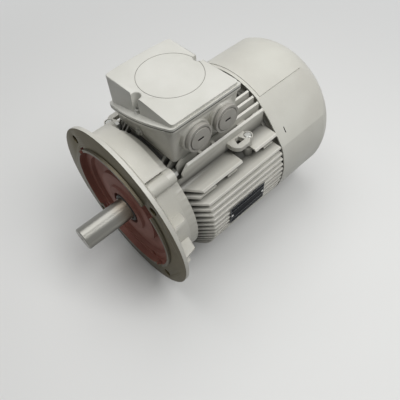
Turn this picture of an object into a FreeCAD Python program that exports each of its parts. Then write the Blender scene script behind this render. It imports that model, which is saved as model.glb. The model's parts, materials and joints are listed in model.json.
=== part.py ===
import FreeCAD, Part
import math
import os
import re
import Sketcher
from FreeCAD import Placement, Rotation, Vector

# Flange-mounted induction motor. The shaft axis is Y and the drive end points to -Y.
# The origin is the centre of the flange's mounting face. Up, towards the terminal box, is +Z.
# All sizes are millimetres and degrees.

doc = FreeCAD.newDocument("InductionMotor")

# Driving dimensions
SIZES = {
    # How far a blank, or a cut through one, runs past the face where it ends
    "cut_margin": 1.0,
    # Shaft
    "shaft_radius": 19.0,
    "extension_length": 80.0,
    "end_chamfer": 1.5,
    "keyway_width": 10.0,
    "keyway_depth": 5.0,
    "keyway_length": 70.0,
    "keyway_margin": 5.0,
    "keyway_turn": -45.0,
    "centre_thread_radius": 5.1,
    "centre_thread_depth": 28.0,
    "shoulder_radius": 24.0,
    "rotor_seat_radius": 25.0,
    "fan_seat_radius": 17.0,
    # Bearings, both ends alike
    "bearing_outer_radius": 40.0,
    "bearing_bore_radius": 20.0,
    "bearing_width": 18.0,
    "race_wall": 4.8,
    "ball_radius": 6.0,
    "groove_radius": 6.25,
    "cage_wall": 3.0,
    "cage_width": 15.4,
    "pocket_gap": 0.3,
    "de_bearing_front": 20.0,
    "nde_bearing_front": 255.0,
    # Active parts
    "core_front": 82.0,
    "core_length": 130.0,
    "core_radius": 100.0,
    "stator_bore_radius": 65.0,
    "air_gap": 0.5,
    "winding_overhang": 28.0,
    "winding_inner_radius": 69.0,
    "winding_outer_radius": 95.0,
    "winding_rounding": 7.0,
    "end_ring_length": 12.0,
    "end_ring_inner_radius": 42.0,
    "end_ring_outer_radius": 62.0,
    # Flange
    "flange_radius": 150.0,
    "flange_thickness": 12.0,
    "rim_land": 6.0,
    "rim_cone_width": 13.0,
    "spigot_radius": 115.0,
    "spigot_height": 4.0,
    "spigot_wall": 5.0,
    "spigot_notch_width": 20.0,
    "spigot_notch_depth": 5.0,
    "bolt_edge": 17.5,
    "bolt_hole_radius": 7.25,
    "dish_depth": 8.0,
    "dish_inner_depth": 14.0,
    "dish_step_radius": 95.0,
    "dish_inner_radius": 66.0,
    "web_thickness": 10.0,
    "hub_radius": 52.0,
    "hub_face": 4.0,
    "hub_ring_radius": 42.0,
    "seal_recess_radius": 30.0,
    "seal_recess_depth": 6.0,
    "seal_radius": 28.0,
    "shaft_clearance": 1.5,
    # Shield skirt behind the flange
    "joint_face": 45.0,
    "skirt_radius": 112.0,
    "skirt_wall": 13.0,
    "register_radius": 104.0,
    "register_depth": 5.0,
    "fit_gap": 0.05,
    "sector_start": 61.0,
    "boss_radius": 12.0,
    "screw_circle_radius": 118.0,
    "screw_angle": 55.5,
    "gusset_angle": 27.5,
    "gusset_thickness": 5.0,
    "gusset_radius": 133.0,
    "gusset_shoulder": 34.0,
    # Housing
    "casing_radius": 131.0,
    "barrel_radius": 107.0,
    "barrel_end": 250.0,
    "front_ring_length": 15.0,
    "fin_slope_length": 20.0,
    "fin_pitch": 10.7,
    "fin_thickness": 3.2,
    "fin_end": 238.0,
    "hidden_fin_radius": 120.0,
    "side_fin_count": 15,
    "first_top_fin": 4,
    "top_fin_count": 4,
    "box_seat_height": 112.0,
    "box_seat_half_width": 40.0,
    "lead_opening_half_width": 22.0,
    "lead_opening_half_length": 28.0,
    "rib_height": 105.0,
    "rib_spacing": 26.0,
    "rib_shift": 0.5,
    "rib_thickness": 5.0,
    "bridge_height": 102.0,
    "bridge_offset": 14.5,
    "bridge_length": 16.0,
    "short_fin_reach": 107.0,
    "short_fin_stub_end": 106.0,
    "short_fin_block_front": 130.0,
    "short_fin_block_length": 20.0,
    "short_fin_block_spacing": 80.0,
    "ear_thickness": 12.0,
    "screw_radius": 4.0,
    "screw_head_radius": 6.5,
    "screw_head_height": 8.0,
    "screw_length": 32.0,
    "thread_gap": 0.05,
    # Rear shield
    "rear_web": 10.0,
    "rear_hub_radius": 50.0,
    "rear_hub_length": 30.0,
    "rear_end_wall": 5.0,
    "rear_ear_radius": 9.0,
    "rear_ear_length": 26.0,
    "rear_screw_circle_radius": 111.0,
    "spring_space": 2.0,
    "latch_angle": 33.5,
    "arm_half_width": 7.0,
    "arm_thickness": 5.0,
    "arm_start": 256.5,
    "latch_slot_half_width": 5.0,
    "latch_slot_length": 1.6,
    "latch_start": 258.0,
    "latch_gap": 0.4,
    "facet_drop": 4.6,
    # Fan
    "fan_front": 291.0,
    "fan_step": 1.0,
    "fan_tail": 7.4,
    "fan_hub_radius": 28.0,
    "fan_hub_length": 35.0,
    "fan_disc_radius": 100.0,
    "fan_radius": 112.0,
    "fan_plate": 3.0,
    "blade_length": 42.0,
    "blade_thickness": 3.0,
    "blade_count": 9,
    # Fan cover
    "cover_front": 240.0,
    "cover_rear": 385.0,
    "cover_radius": 131.5,
    "cover_wall": 2.5,
    "cover_gap": 1.0,
    "facet_start": 23.6,
    "panel_start": 63.0,
    "facet_crown_radius": 309.0,
    "panel_step": 1.2,
    "panel_front": 246.0,
    "panel_groove_end": 342.0,
    "panel_groove_width": 1.2,
    "panel_groove_depth": 0.8,
    "dome_start": 335.0,
    "dome_radius": 57.1,
    "rear_face_radius": 101.5,
    "grille_first_radius": 30.0,
    "grille_pitch": 11.0,
    "grille_slot": 7.0,
    "grille_spoke_angle": 4.5,
    "grille_sector": 45.0,
    # Terminal box
    "box_centre": 124.0,
    "box_half_length": 59.0,
    "box_half_width": 71.5,
    "cover_edge": 8.5,
    "box_corner": 5.0,
    "box_wall": 4.0,
    "box_left_bow_radius": 700.0,
    "parting_slope": 17.3,
    "rim_overhang": 3.0,
    "rim_thickness": 3.5,
    "rim_bow_radius": 350.0,
    "gasket_thickness": 1.5,
    "base_floor": 4.0,
    "base_half_width": 64.0,
    "base_half_length": 58.0,
    "base_draft": 7.0,
    "notch_radius": 7.5,
    "notch_wall": 3.0,
    "notch_inset": 2.5,
    "cover_screw_shift": -5.0,
    "cover_screw_lift": 0.8,
    "cover_screw_radius": 3.0,
    "cover_screw_head_radius": 5.0,
    "cover_screw_head": 6.0,
    "cover_screw_depth": 20.0,
    "groove_circle_radius": 48.4,
    "groove_circle_shift_x": -5.0,
    "groove_circle_shift_y": 4.0,
    "groove_circle_width": 0.8,
    "groove_circle_depth": 0.6,
    "plug_front": 100.0,
    "plug_spacing": 50.5,
    "plug_height": 151.0,
    "plug_seat": 76.0,
    "plug_collar_radius": 24.0,
    "plug_rim_gap": 3.0,
    "plug_head_radius": 21.5,
    "plug_head_height": 6.0,
    "plug_thread_radius": 16.0,
    "plug_thread_length": 9.0,
    "plug_rim_width": 3.5,
    "plug_groove_width": 1.5,
    "plug_groove_depth": 1.5,
    "plug_disc_lift": 1.0,
    "plug_slot_half_length": 5.0,
    "plug_slot_width": 3.5,
    "plug_seal": 1.5,
    # Terminal board
    "board_half_width": 30.0,
    "board_half_length": 38.0,
    "board_thickness": 8.0,
    "board_lift": 6.0,
    "board_edge": 1.0,
    "stud_radius": 2.5,
    "stud_length": 26.0,
    "stud_spacing": 20.0,
    "stud_row": 11.0,
    "stud_nut_radius": 5.0,
    "stud_nut_height": 4.0,
    "link_thickness": 1.5,
    "small_screw_radius": 2.5,
    "small_screw_head_radius": 4.5,
    "small_screw_head": 3.5,
    "small_screw_length": 14.0,
    "base_screw_half_x": 34.0,
    "base_screw_half_y": 46.0,
    # Earth screw on the box, outside
    "earth_across": -4.0,
    "earth_height": 130.0,
    "earth_boss_radius": 7.0,
    "earth_boss_height": 5.0,
    "earth_boss_length": 14.0,
    # Lifting lugs
    "lug_lift": 9.5,
    "lug_thickness": 8.0,
    "lug_centre": 174.5,
    "lug_pair_centre": 125.0,
    "lug_half_length": 18.0,
    "lug_shoulder": 7.5,
    "lug_reach": 22.5,
    "lug_bar_half_length": 7.5,
    "lug_rounding": 16.0,
    "lug_hole_start": 3.0,
    "lug_hole_reach": 13.5,
    "lug_apex_half_length": 4.5,
    "lug_hole_half_length": 8.0,
    "lug_boss_radius": 8.0,
    "lug_boss_offset": 17.0,
    "lug_boss_inset": 2.5,
    "lug_notch_half_length": 14.5,
    "lug_post_radius": 9.0,
    "lug_post_depth": 22.0,
    # Rating plate
    "plate_front": 112.0,
    "plate_length": 78.0,
    "plate_half_height": 19.0,
    "plate_thickness": 0.8,
    "rivet_radius": 1.2,
    "rivet_head_radius": 2.4,
    "rivet_head": 0.8,
    "rivet_depth": 5.0,
    "rivet_margin": 4.0,
    # Retaining rings and shaft seals
    "ring_depth": 1.5,
    "ring_groove": 1.85,
    "ring_strip": 1.75,
    "ring_wall": 3.5,
    "ring_gap": 12.0,
    "seal_length": 6.0,
    "seal_lip": 3.0,
    "seal_gap": 0.3,
}

sheet = doc.addObject("Spreadsheet::Sheet", "Sizes")
for row, (alias, number) in enumerate(SIZES.items(), start=1):
    sheet.set(f"A{row}", alias)
    sheet.set(f"B{row}", str(number))
    sheet.setAlias(f"B{row}", alias)
doc.recompute()


# Expressions over the sheet
def sized(text):
    """The text of a size, with the sheet's name put before each of its aliases."""
    words = r"[a-z][a-z0-9_]*"
    return re.sub(words, lambda word: f"Sizes.{word[0]}" if word[0] in SIZES else word[0], str(text))


def value(text):
    """The number that an expression over the sheet gives."""
    result = sheet.evalExpression(sized(text))
    return float(getattr(result, "Value", result))


def bind(thing, path, text):
    thing.setExpression(path, sized(text))


# Sketches
def base_plane(body, role):
    return next(item for item in body.Origin.OriginFeatures if item.Role == role)


def sketch_on(body, role, name, offset="0", turn=None):
    """A sketch on one of the body's own planes, moved along its normal and turned about the shaft if asked."""
    sketch = body.newObject("Sketcher::SketchObject", name)
    sketch.AttachmentSupport = [(base_plane(body, role), "")]
    sketch.MapMode = "FlatFace"
    if turn is None:
        bind(sketch, "AttachmentOffset.Base.z", offset)
    else:
        sketch.AttachmentOffset = Placement(Vector(), Rotation(Vector(0, 1, 0), -value(turn)))
        bind(sketch, "AttachmentOffset.Rotation.Angle", f"-({turn})")
        bind(sketch, "AttachmentOffset.Base.x", f"-({offset}) * sin({turn})")
        bind(sketch, "AttachmentOffset.Base.z", f"({offset}) * cos({turn})")
    return sketch


def cross_section(body, name, place):
    """A sketch square to the shaft at a place along it: across is +X and up is +Z."""
    return sketch_on(body, "XZ_Plane", name, f"-({place})")


def plan(body, name, height):
    """A level sketch at a height: across is +X and up is +Y."""
    return sketch_on(body, "XY_Plane", name, height)


def half_section(body, name, turn=None):
    """A sketch through the shaft axis: across is the radius and up is the place along the shaft."""
    return sketch_on(body, "XY_Plane", name, "0", turn)


def outline(sketch, corners, rounds=None):
    """A closed outline through corners given as pairs of expressions.

    rounds gives some edges, by number, a radius. A positive one bulges the edge to the right of its
    direction of travel, so outwards when the corners run anticlockwise, and a negative one to the left.
    """
    rounds = rounds or {}
    first = sketch.GeometryCount
    points = [Vector(value(across), value(up), 0) for across, up in corners]
    count = len(points)
    edges = []
    heads = []
    for number, start in enumerate(points):
        finish = points[(number + 1) % count]
        if number in rounds:
            radius = value(rounds[number])
            chord = finish - start
            reach = math.sqrt(max(radius**2 - (chord.Length / 2) ** 2, 0))
            left = Vector(-chord.y, chord.x, 0).normalize()
            centre = (start + finish) * 0.5 + left * math.copysign(reach, radius)
            begin, end = (start, finish) if radius > 0 else (finish, start)
            from_angle = math.atan2(begin.y - centre.y, begin.x - centre.x)
            to_angle = math.atan2(end.y - centre.y, end.x - centre.x)
            if to_angle < from_angle:
                to_angle += 2 * math.pi
            circle = Part.Circle(centre, Vector(0, 0, 1), abs(radius))
            edges.append(Part.ArcOfCircle(circle, from_angle, to_angle))
            heads.append((1, 2) if radius > 0 else (2, 1))
        else:
            edges.append(Part.LineSegment(start, finish))
            heads.append((1, 2))
    sketch.addGeometry(edges, False)
    rules = []
    sizes = []
    for number in range(count):
        following = (number + 1) % count
        rules.append(
            Sketcher.Constraint(
                "Coincident", first + number, heads[number][1], first + following, heads[following][0]
            )
        )
    for number, corner in enumerate(corners):
        point = points[number]
        for kind, text, place in (("DistanceX", corner[0], point.x), ("DistanceY", corner[1], point.y)):
            sizes.append((len(rules), text))
            rules.append(Sketcher.Constraint(kind, -1, 1, first + number, heads[number][0], place))
    for number, text in rounds.items():
        sizes.append((len(rules), f"abs({text})"))
        rules.append(Sketcher.Constraint("Radius", first + number, abs(value(text))))
    before = sketch.ConstraintCount
    sketch.addConstraint(rules)
    for number, text in sizes:
        bind(sketch, f"Constraints[{before + number}]", text)
    return sketch


def circles(sketch, centres, radius):
    """Circles of one radius about centres given as pairs of expressions."""
    for across, up in centres:
        number = sketch.addGeometry(
            Part.Circle(Vector(value(across), value(up), 0), Vector(0, 0, 1), value(radius)), False
        )
        before = sketch.ConstraintCount
        sketch.addConstraint(
            [
                Sketcher.Constraint("DistanceX", -1, 1, number, 3, value(across)),
                Sketcher.Constraint("DistanceY", -1, 1, number, 3, value(up)),
                Sketcher.Constraint("Radius", number, value(radius)),
            ]
        )
        bind(sketch, f"Constraints[{before}]", across)
        bind(sketch, f"Constraints[{before + 1}]", up)
        bind(sketch, f"Constraints[{before + 2}]", radius)
    return sketch


def rectangle(low_x, low_y, high_x, high_y):
    return [(low_x, low_y), (high_x, low_y), (high_x, high_y), (low_x, high_y)]


def rounded(half_x, half_y, radius, centre_y="0"):
    """Corners and rounds of a rectangle about x = 0 with rounded corners, anticlockwise."""
    low, high = f"{centre_y} - ({half_y})", f"{centre_y} + ({half_y})"
    corners = [
        (f"-({half_x}) + {radius}", low),
        (f"{half_x} - {radius}", low),
        (half_x, f"{low} + {radius}"),
        (half_x, f"{high} - {radius}"),
        (f"{half_x} - {radius}", high),
        (f"-({half_x}) + {radius}", high),
        (f"-({half_x})", f"{high} - {radius}"),
        (f"-({half_x})", f"{low} + {radius}"),
    ]
    return corners, {1: radius, 3: radius, 5: radius, 7: radius}


def radial_bar(angle, inner, outer, half_width):
    """Corners of a bar that runs outwards from the shaft at an angle from +X."""
    corners = []
    for reach, side in ((inner, "-"), (outer, "-"), (outer, "+"), (inner, "+")):
        opposite = "+" if side == "-" else "-"
        corners.append(
            (
                f"({reach}) * cos({angle}) {opposite} ({half_width}) * sin({angle})",
                f"({reach}) * sin({angle}) {side} ({half_width}) * cos({angle})",
            )
        )
    return corners


def ring_sector(inner, outer, start, stop):
    """Corners and rounds of a sector of a flat ring between two angles."""
    corners = [
        (f"({inner}) * cos({start})", f"({inner}) * sin({start})"),
        (f"({outer}) * cos({start})", f"({outer}) * sin({start})"),
        (f"({outer}) * cos({stop})", f"({outer}) * sin({stop})"),
        (f"({inner}) * cos({stop})", f"({inner}) * sin({stop})"),
    ]
    return corners, {1: outer, 3: f"-({inner})"}


def four_places(radius, angle):
    """Four places mirrored about both upright planes of the motor."""
    across, up = f"({radius}) * cos({angle})", f"({radius}) * sin({angle})"
    return [(across, up), (f"-{across}", up), (f"-{across}", f"-{up}"), (across, f"-{up}")]


# Features
def new_body(name):
    body = doc.addObject("PartDesign::Body", name)
    body.Label = name
    return body


def turned(body, sketch, kind="PartDesign::Revolution"):
    """Spins a half section about the shaft axis, as added or as cut material."""
    feature = body.newObject(kind, f"{sketch.Name}_turned")
    feature.Profile = sketch
    feature.ReferenceAxis = (sketch, ["V_Axis"])
    feature.Angle = 360
    return feature


def pad(body, sketch, length, backward=False, midplane=False, draft=None):
    feature = body.newObject("PartDesign::Pad", f"{sketch.Name}_pad")
    feature.Profile = sketch
    feature.Reversed = backward
    feature.Midplane = midplane
    bind(feature, "Length", length)
    if draft is not None:
        bind(feature, "TaperAngle", draft)
    return feature


def pocket(body, sketch, depth, backward=False, midplane=False):
    feature = body.newObject("PartDesign::Pocket", f"{sketch.Name}_pocket")
    feature.Profile = sketch
    feature.Reversed = backward
    feature.Midplane = midplane
    bind(feature, "Length", depth)
    return feature


def polar(body, feature, count):
    pattern = body.newObject("PartDesign::PolarPattern", f"{feature.Name}_ring")
    pattern.Originals = [feature]
    pattern.Axis = (base_plane(body, "Y_Axis"), [""])
    pattern.Angle = 360
    bind(pattern, "Occurrences", count)
    body.Tip = pattern
    return pattern


def mirror(body, feature, role):
    copy = body.newObject("PartDesign::Mirrored", f"{feature.Name}_mirrored")
    copy.Originals = [feature]
    copy.MirrorPlane = (base_plane(body, role), [""])
    body.Tip = copy
    return copy


def turned_piece(name, corners, rounds=None):
    """A piece with only a turned shape."""
    body = new_body(name)
    turned(body, outline(half_section(body, f"{name}_profile"), corners, rounds))
    return body


# Part primitives
def place(thing, across, along, up, axis="Z"):
    """Puts a primitive at a place, with its own Z axis along one of the motor's axes or back along it."""
    turns = {
        "Z": Rotation(),
        "-Z": Rotation(Vector(1, 0, 0), 180),
        "X": Rotation(Vector(0, 1, 0), 90),
        "-X": Rotation(Vector(0, 1, 0), -90),
        "Y": Rotation(Vector(1, 0, 0), -90),
        "-Y": Rotation(Vector(1, 0, 0), 90),
    }
    thing.Placement = Placement(Vector(), turns[axis])
    bind(thing, "Placement.Base.x", across)
    bind(thing, "Placement.Base.y", along)
    bind(thing, "Placement.Base.z", up)
    return thing


def cylinder(name, radius, length, across, along, up, axis="Z"):
    rod = doc.addObject("Part::Cylinder", name)
    bind(rod, "Radius", radius)
    bind(rod, "Height", length)
    return place(rod, across, along, up, axis)


def hexagon(name, radius, length, across, along, up, axis="Z"):
    prism = doc.addObject("Part::Prism", name)
    prism.Polygon = 6
    bind(prism, "Circumradius", radius)
    bind(prism, "Height", length)
    return place(prism, across, along, up, axis)


def block(name, low, high):
    """A box between two corners, each three expressions."""
    box = doc.addObject("Part::Box", name)
    bind(box, "Length", f"({high[0]}) - ({low[0]})")
    bind(box, "Width", f"({high[1]}) - ({low[1]})")
    bind(box, "Height", f"({high[2]}) - ({low[2]})")
    return place(box, low[0], low[1], low[2])


def fused(name, pieces):
    whole = doc.addObject("Part::MultiFuse", name)
    whole.Shapes = pieces
    return whole


def cut(name, base, tool):
    rest = doc.addObject("Part::Cut", name)
    rest.Base = base
    rest.Tool = tool
    return rest


def group(name, pieces):
    """Separate solids that share one node."""
    whole = doc.addObject("Part::Compound", name)
    whole.Links = pieces
    return finished(whole, name)


nodes = []


def finished(thing, name=None):
    """Marks a piece as one of the motor's nodes."""
    if name:
        thing.Label = name
    nodes.append(thing)
    return thing


def screw(name, radius, length, head_radius, head, across, along, up, axis, socket=False):
    """A screw whose head seats at the given place, with the shank running the other way from axis."""
    back = {"Z": "-Z", "-Z": "Z", "X": "-X", "-X": "X", "Y": "-Y", "-Y": "Y"}[axis]
    shank = cylinder(f"{name}_shank", radius, length, across, along, up, back)
    shape = cylinder if socket else hexagon
    top = shape(f"{name}_head", head_radius, head, across, along, up, axis)
    return fused(name, [shank, top])


# Numbers of repeated pieces, and the angles of those that stand unevenly
BALL_COUNT = 9
GRILLE_RINGS = 6
GUSSET_ANGLES = ("0", "gusset_angle", "180 - gusset_angle", "180", "180 + gusset_angle", "-gusset_angle")
LATCH_ANGLES = ("latch_angle", "180 - latch_angle", "180 + latch_angle", "-latch_angle")

# Places worked out from the driving dimensions
CORE_REAR = "(core_front + core_length)"
DE_BEARING_REAR = "(de_bearing_front + bearing_width)"
NDE_BEARING_REAR = "(nde_bearing_front + bearing_width)"
BALL_PITCH = "((bearing_outer_radius + bearing_bore_radius) / 2)"
SKIRT_BORE = "(skirt_radius - skirt_wall)"
SEAL_SEAT = "(hub_face + seal_recess_depth)"
REAR_HUB_END = "(barrel_end + rear_hub_length)"
FAN_SEAT = "(fan_front - fan_step)"
FAN_HUB_END = "(fan_front + fan_hub_length)"
SHELF_TOP = "(fin_pitch * (side_fin_count - 1) / 2 + fin_thickness / 2)"
COVER_INSIDE = "(cover_radius - facet_drop - cover_wall)"
BASE_BOTTOM = "(box_seat_height + gasket_thickness)"
BASE_FLOOR_TOP = "(box_seat_height + gasket_thickness + base_floor)"


def parting(across):
    """Height of the terminal box's oblique joint plane at a place across the box: at the rim on the plugs'
    side it clears the plugs' collars, and it falls away towards the other side."""
    rim = "plug_height + plug_collar_radius + plug_rim_gap + rim_thickness"
    return f"({rim} - (box_half_width + rim_overhang - ({across})) * tan(parting_slope))"


BOX_TOP = f"({parting('box_half_width + rim_overhang')} + cover_edge)"
COVER_SCREW_SEAT = f"({parting('cover_screw_shift')} + gasket_thickness + rim_thickness + cover_screw_lift)"
EARTH_FACE = "(box_centre - base_half_length - earth_boss_height)"
LAST_TOP_FIN = "(first_top_fin + top_fin_count - 1)"
LUG_X = f"(fin_pitch * {LAST_TOP_FIN} + fin_thickness / 2 + fit_gap)"
LUG_LOW = f"({SHELF_TOP} + lug_lift)"
BOLT_CIRCLE = "(flange_radius - bolt_edge)"


# Rotor
def make_shaft():
    seat = "bearing_bore_radius"
    body = turned_piece(
        "shaft",
        [
            ("0", "-extension_length"),
            ("shaft_radius - end_chamfer", "-extension_length"),
            ("shaft_radius", "-extension_length + end_chamfer"),
            ("shaft_radius", "0"),
            (seat, "0"),
            (seat, DE_BEARING_REAR),
            ("shoulder_radius", DE_BEARING_REAR),
            ("shoulder_radius", "core_front"),
            ("rotor_seat_radius", "core_front"),
            ("rotor_seat_radius", CORE_REAR),
            ("shoulder_radius", CORE_REAR),
            ("shoulder_radius", "nde_bearing_front"),
            (seat, "nde_bearing_front"),
            (seat, FAN_SEAT),
            ("fan_seat_radius", FAN_SEAT),
            ("fan_seat_radius", f"{FAN_HUB_END}"),
            ("fan_seat_radius - ring_depth", f"{FAN_HUB_END}"),
            ("fan_seat_radius - ring_depth", f"{FAN_HUB_END} + ring_groove"),
            ("fan_seat_radius", f"{FAN_HUB_END} + ring_groove"),
            ("fan_seat_radius", f"{FAN_HUB_END} + fan_tail"),
            ("0", f"{FAN_HUB_END} + fan_tail"),
        ],
    )
    keyway = sketch_on(body, "XY_Plane", "keyway", "-shaft_radius + keyway_depth", "keyway_turn")
    front = "-extension_length + keyway_margin"
    ends = (f"{front} + keyway_width / 2", f"{front} + keyway_length - keyway_width / 2")
    half = "keyway_width / 2"
    # The quarter rounds make the two half-round ends that an end mill leaves
    corners = [
        (f"-{half}", ends[0]),
        ("0", front),
        (half, ends[0]),
        (half, ends[1]),
        ("0", f"{front} + keyway_length"),
        (f"-{half}", ends[1]),
    ]
    outline(keyway, corners, {0: half, 1: half, 3: half, 4: half})
    pocket(body, keyway, "2 * keyway_depth")
    thread = cross_section(body, "centre_thread", "-extension_length")
    circles(thread, [("0", "0")], "centre_thread_radius")
    pocket(body, thread, "centre_thread_depth")
    finished(body)


def make_rotor():
    bore = "rotor_seat_radius"
    rim = "stator_bore_radius - air_gap"
    core = [(bore, "core_front"), (rim, "core_front"), (rim, CORE_REAR), (bore, CORE_REAR)]
    finished(turned_piece("rotor_core", core))
    rings = []
    for end, low, high in (
        ("front", "core_front - end_ring_length", "core_front"),
        ("rear", CORE_REAR, f"{CORE_REAR} + end_ring_length"),
    ):
        corners = rectangle("end_ring_inner_radius", low, "end_ring_outer_radius", high)
        rings.append(turned_piece(f"end_ring_{end}", corners))
    group("rotor_end_rings", rings)


def make_bearing(end, front):
    """Deep-groove ball bearing: outer ring, inner ring, balls and cage."""
    rear = f"({front} + bearing_width)"
    middle = f"({front} + bearing_width / 2)"
    outer_land = "(bearing_outer_radius - race_wall)"
    inner_land = "(bearing_bore_radius + race_wall)"
    # Half the width of a race groove where it meets its land
    outer_reach = f"sqrt(groove_radius ^ 2 - ({outer_land} - {BALL_PITCH}) ^ 2)"
    inner_reach = f"sqrt(groove_radius ^ 2 - ({BALL_PITCH} - {inner_land}) ^ 2)"
    outer = [
        (outer_land, front),
        ("bearing_outer_radius", front),
        ("bearing_outer_radius", rear),
        (outer_land, rear),
        (outer_land, f"{middle} + {outer_reach}"),
        (outer_land, f"{middle} - {outer_reach}"),
    ]
    finished(turned_piece(f"{end}_bearing_outer_ring", outer, {4: "-groove_radius"}))
    inner = [
        ("bearing_bore_radius", front),
        (inner_land, front),
        (inner_land, f"{middle} - {inner_reach}"),
        (inner_land, f"{middle} + {inner_reach}"),
        (inner_land, rear),
        ("bearing_bore_radius", rear),
    ]
    finished(turned_piece(f"{end}_bearing_inner_ring", inner, {2: "-groove_radius"}))
    balls = []
    pockets = []
    for number in range(BALL_COUNT):
        across = f"{BALL_PITCH} * cos({number} * 360 / {BALL_COUNT})"
        up = f"{BALL_PITCH} * sin({number} * 360 / {BALL_COUNT})"
        ball = doc.addObject("Part::Sphere", f"{end}_ball_{number}")
        bind(ball, "Radius", "ball_radius")
        balls.append(place(ball, across, middle, up))
        # A pocket is drilled through the cage from outside, in line with its ball
        angle = number * 360 / BALL_COUNT
        inside = f"({BALL_PITCH} - cage_wall)"
        drill = doc.addObject("Part::Cylinder", f"{end}_pocket_{number}")
        bind(drill, "Radius", "ball_radius + pocket_gap")
        bind(drill, "Height", "2 * cage_wall")
        place(drill, f"{inside} * cos({angle})", middle, f"{inside} * sin({angle})")
        drill.Placement.Rotation = Rotation(Vector(0, 1, 0), 90 - angle)
        pockets.append(drill)
    group(f"{end}_bearing_balls", balls)
    ring = turned_piece(
        f"{end}_cage_blank",
        rectangle(
            f"{BALL_PITCH} - cage_wall / 2",
            f"{middle} - cage_width / 2",
            f"{BALL_PITCH} + cage_wall / 2",
            f"{middle} + cage_width / 2",
        ),
    )
    finished(cut(f"{end}_bearing_cage", ring, fused(f"{end}_pockets", pockets)))


def make_fan():
    body = turned_piece(
        "fan",
        [
            ("fan_seat_radius", "fan_front"),
            ("fan_disc_radius", "fan_front"),
            ("fan_disc_radius", "fan_front + fan_plate"),
            ("fan_hub_radius", "fan_front + fan_plate"),
            ("fan_hub_radius", FAN_HUB_END),
            ("fan_seat_radius", FAN_HUB_END),
        ],
    )
    # A blade stands on the disc and leans down towards the hub at its rear edge
    blade = half_section(body, "blade")
    corners = [
        ("fan_hub_radius - fan_plate", "fan_front"),
        ("fan_radius", "fan_front"),
        ("fan_radius", "fan_front + blade_length"),
        ("fan_radius / 2", "fan_front + blade_length"),
        ("fan_hub_radius - fan_plate", f"{FAN_HUB_END} - fan_plate"),
    ]
    polar(body, pad(body, outline(blade, corners), "blade_thickness", midplane=True), "blade_count")
    finished(body)
    strip_end = f"{FAN_HUB_END} + ring_strip"
    clip = rectangle("fan_seat_radius - ring_depth", FAN_HUB_END, "fan_seat_radius + ring_wall", strip_end)
    split_ring("fan_retaining_ring", clip, "fan_seat_radius")


def split_ring(name, corners, radius):
    """A retaining ring: a turned ring with a gap at its lowest point."""
    body = turned_piece(name, corners)
    gap = cross_section(body, f"{name}_gap", "0")
    outline(gap, rectangle("-ring_gap / 2", f"-({radius}) - 3 * ring_wall", "ring_gap / 2", "0"))
    feature = pocket(body, gap, "4 * cover_rear", midplane=True)
    body.Tip = feature
    finished(body)


def make_seals():
    """The rubber rings that turn with the shaft in front of the drive-end and behind the rear shield."""
    lip = "seal_gap"
    front = [
        ("bearing_bore_radius", f"{SEAL_SEAT} - seal_length"),
        ("seal_radius - seal_lip", f"{SEAL_SEAT} - seal_length"),
        ("seal_radius - seal_lip", f"{SEAL_SEAT} - seal_length / 2"),
        ("seal_radius", f"{SEAL_SEAT} - {lip}"),
        ("bearing_bore_radius", f"{SEAL_SEAT} - {lip}"),
    ]
    finished(turned_piece("de_shaft_seal", front))
    rear = [
        ("bearing_bore_radius", f"{REAR_HUB_END} + {lip}"),
        ("seal_radius", f"{REAR_HUB_END} + {lip}"),
        ("seal_radius - seal_lip", f"{REAR_HUB_END} + seal_length / 2"),
        ("seal_radius - seal_lip", f"{REAR_HUB_END} + seal_length"),
        ("bearing_bore_radius", f"{REAR_HUB_END} + seal_length"),
    ]
    finished(turned_piece("nde_shaft_seal", rear))


# Stator
def make_stator():
    core = rectangle("stator_bore_radius", "core_front", "core_radius", CORE_REAR)
    finished(turned_piece("stator_core", core))
    inner, outer, rounding = "winding_inner_radius", "winding_outer_radius", "winding_rounding"
    tip = "core_front - winding_overhang"
    front = [
        (f"{inner} + {rounding}", tip),
        (f"{outer} - {rounding}", tip),
        (outer, f"{tip} + {rounding}"),
        (outer, "core_front"),
        (inner, "core_front"),
        (inner, f"{tip} + {rounding}"),
    ]
    finished(turned_piece("de_end_winding", front, {1: rounding, 5: rounding}))
    tip = f"{CORE_REAR} + winding_overhang"
    rear = [
        (inner, CORE_REAR),
        (outer, CORE_REAR),
        (outer, f"{tip} - {rounding}"),
        (f"{outer} - {rounding}", tip),
        (f"{inner} + {rounding}", tip),
        (inner, f"{tip} - {rounding}"),
    ]
    finished(turned_piece("nde_end_winding", rear, {2: rounding, 4: rounding}))


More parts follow.
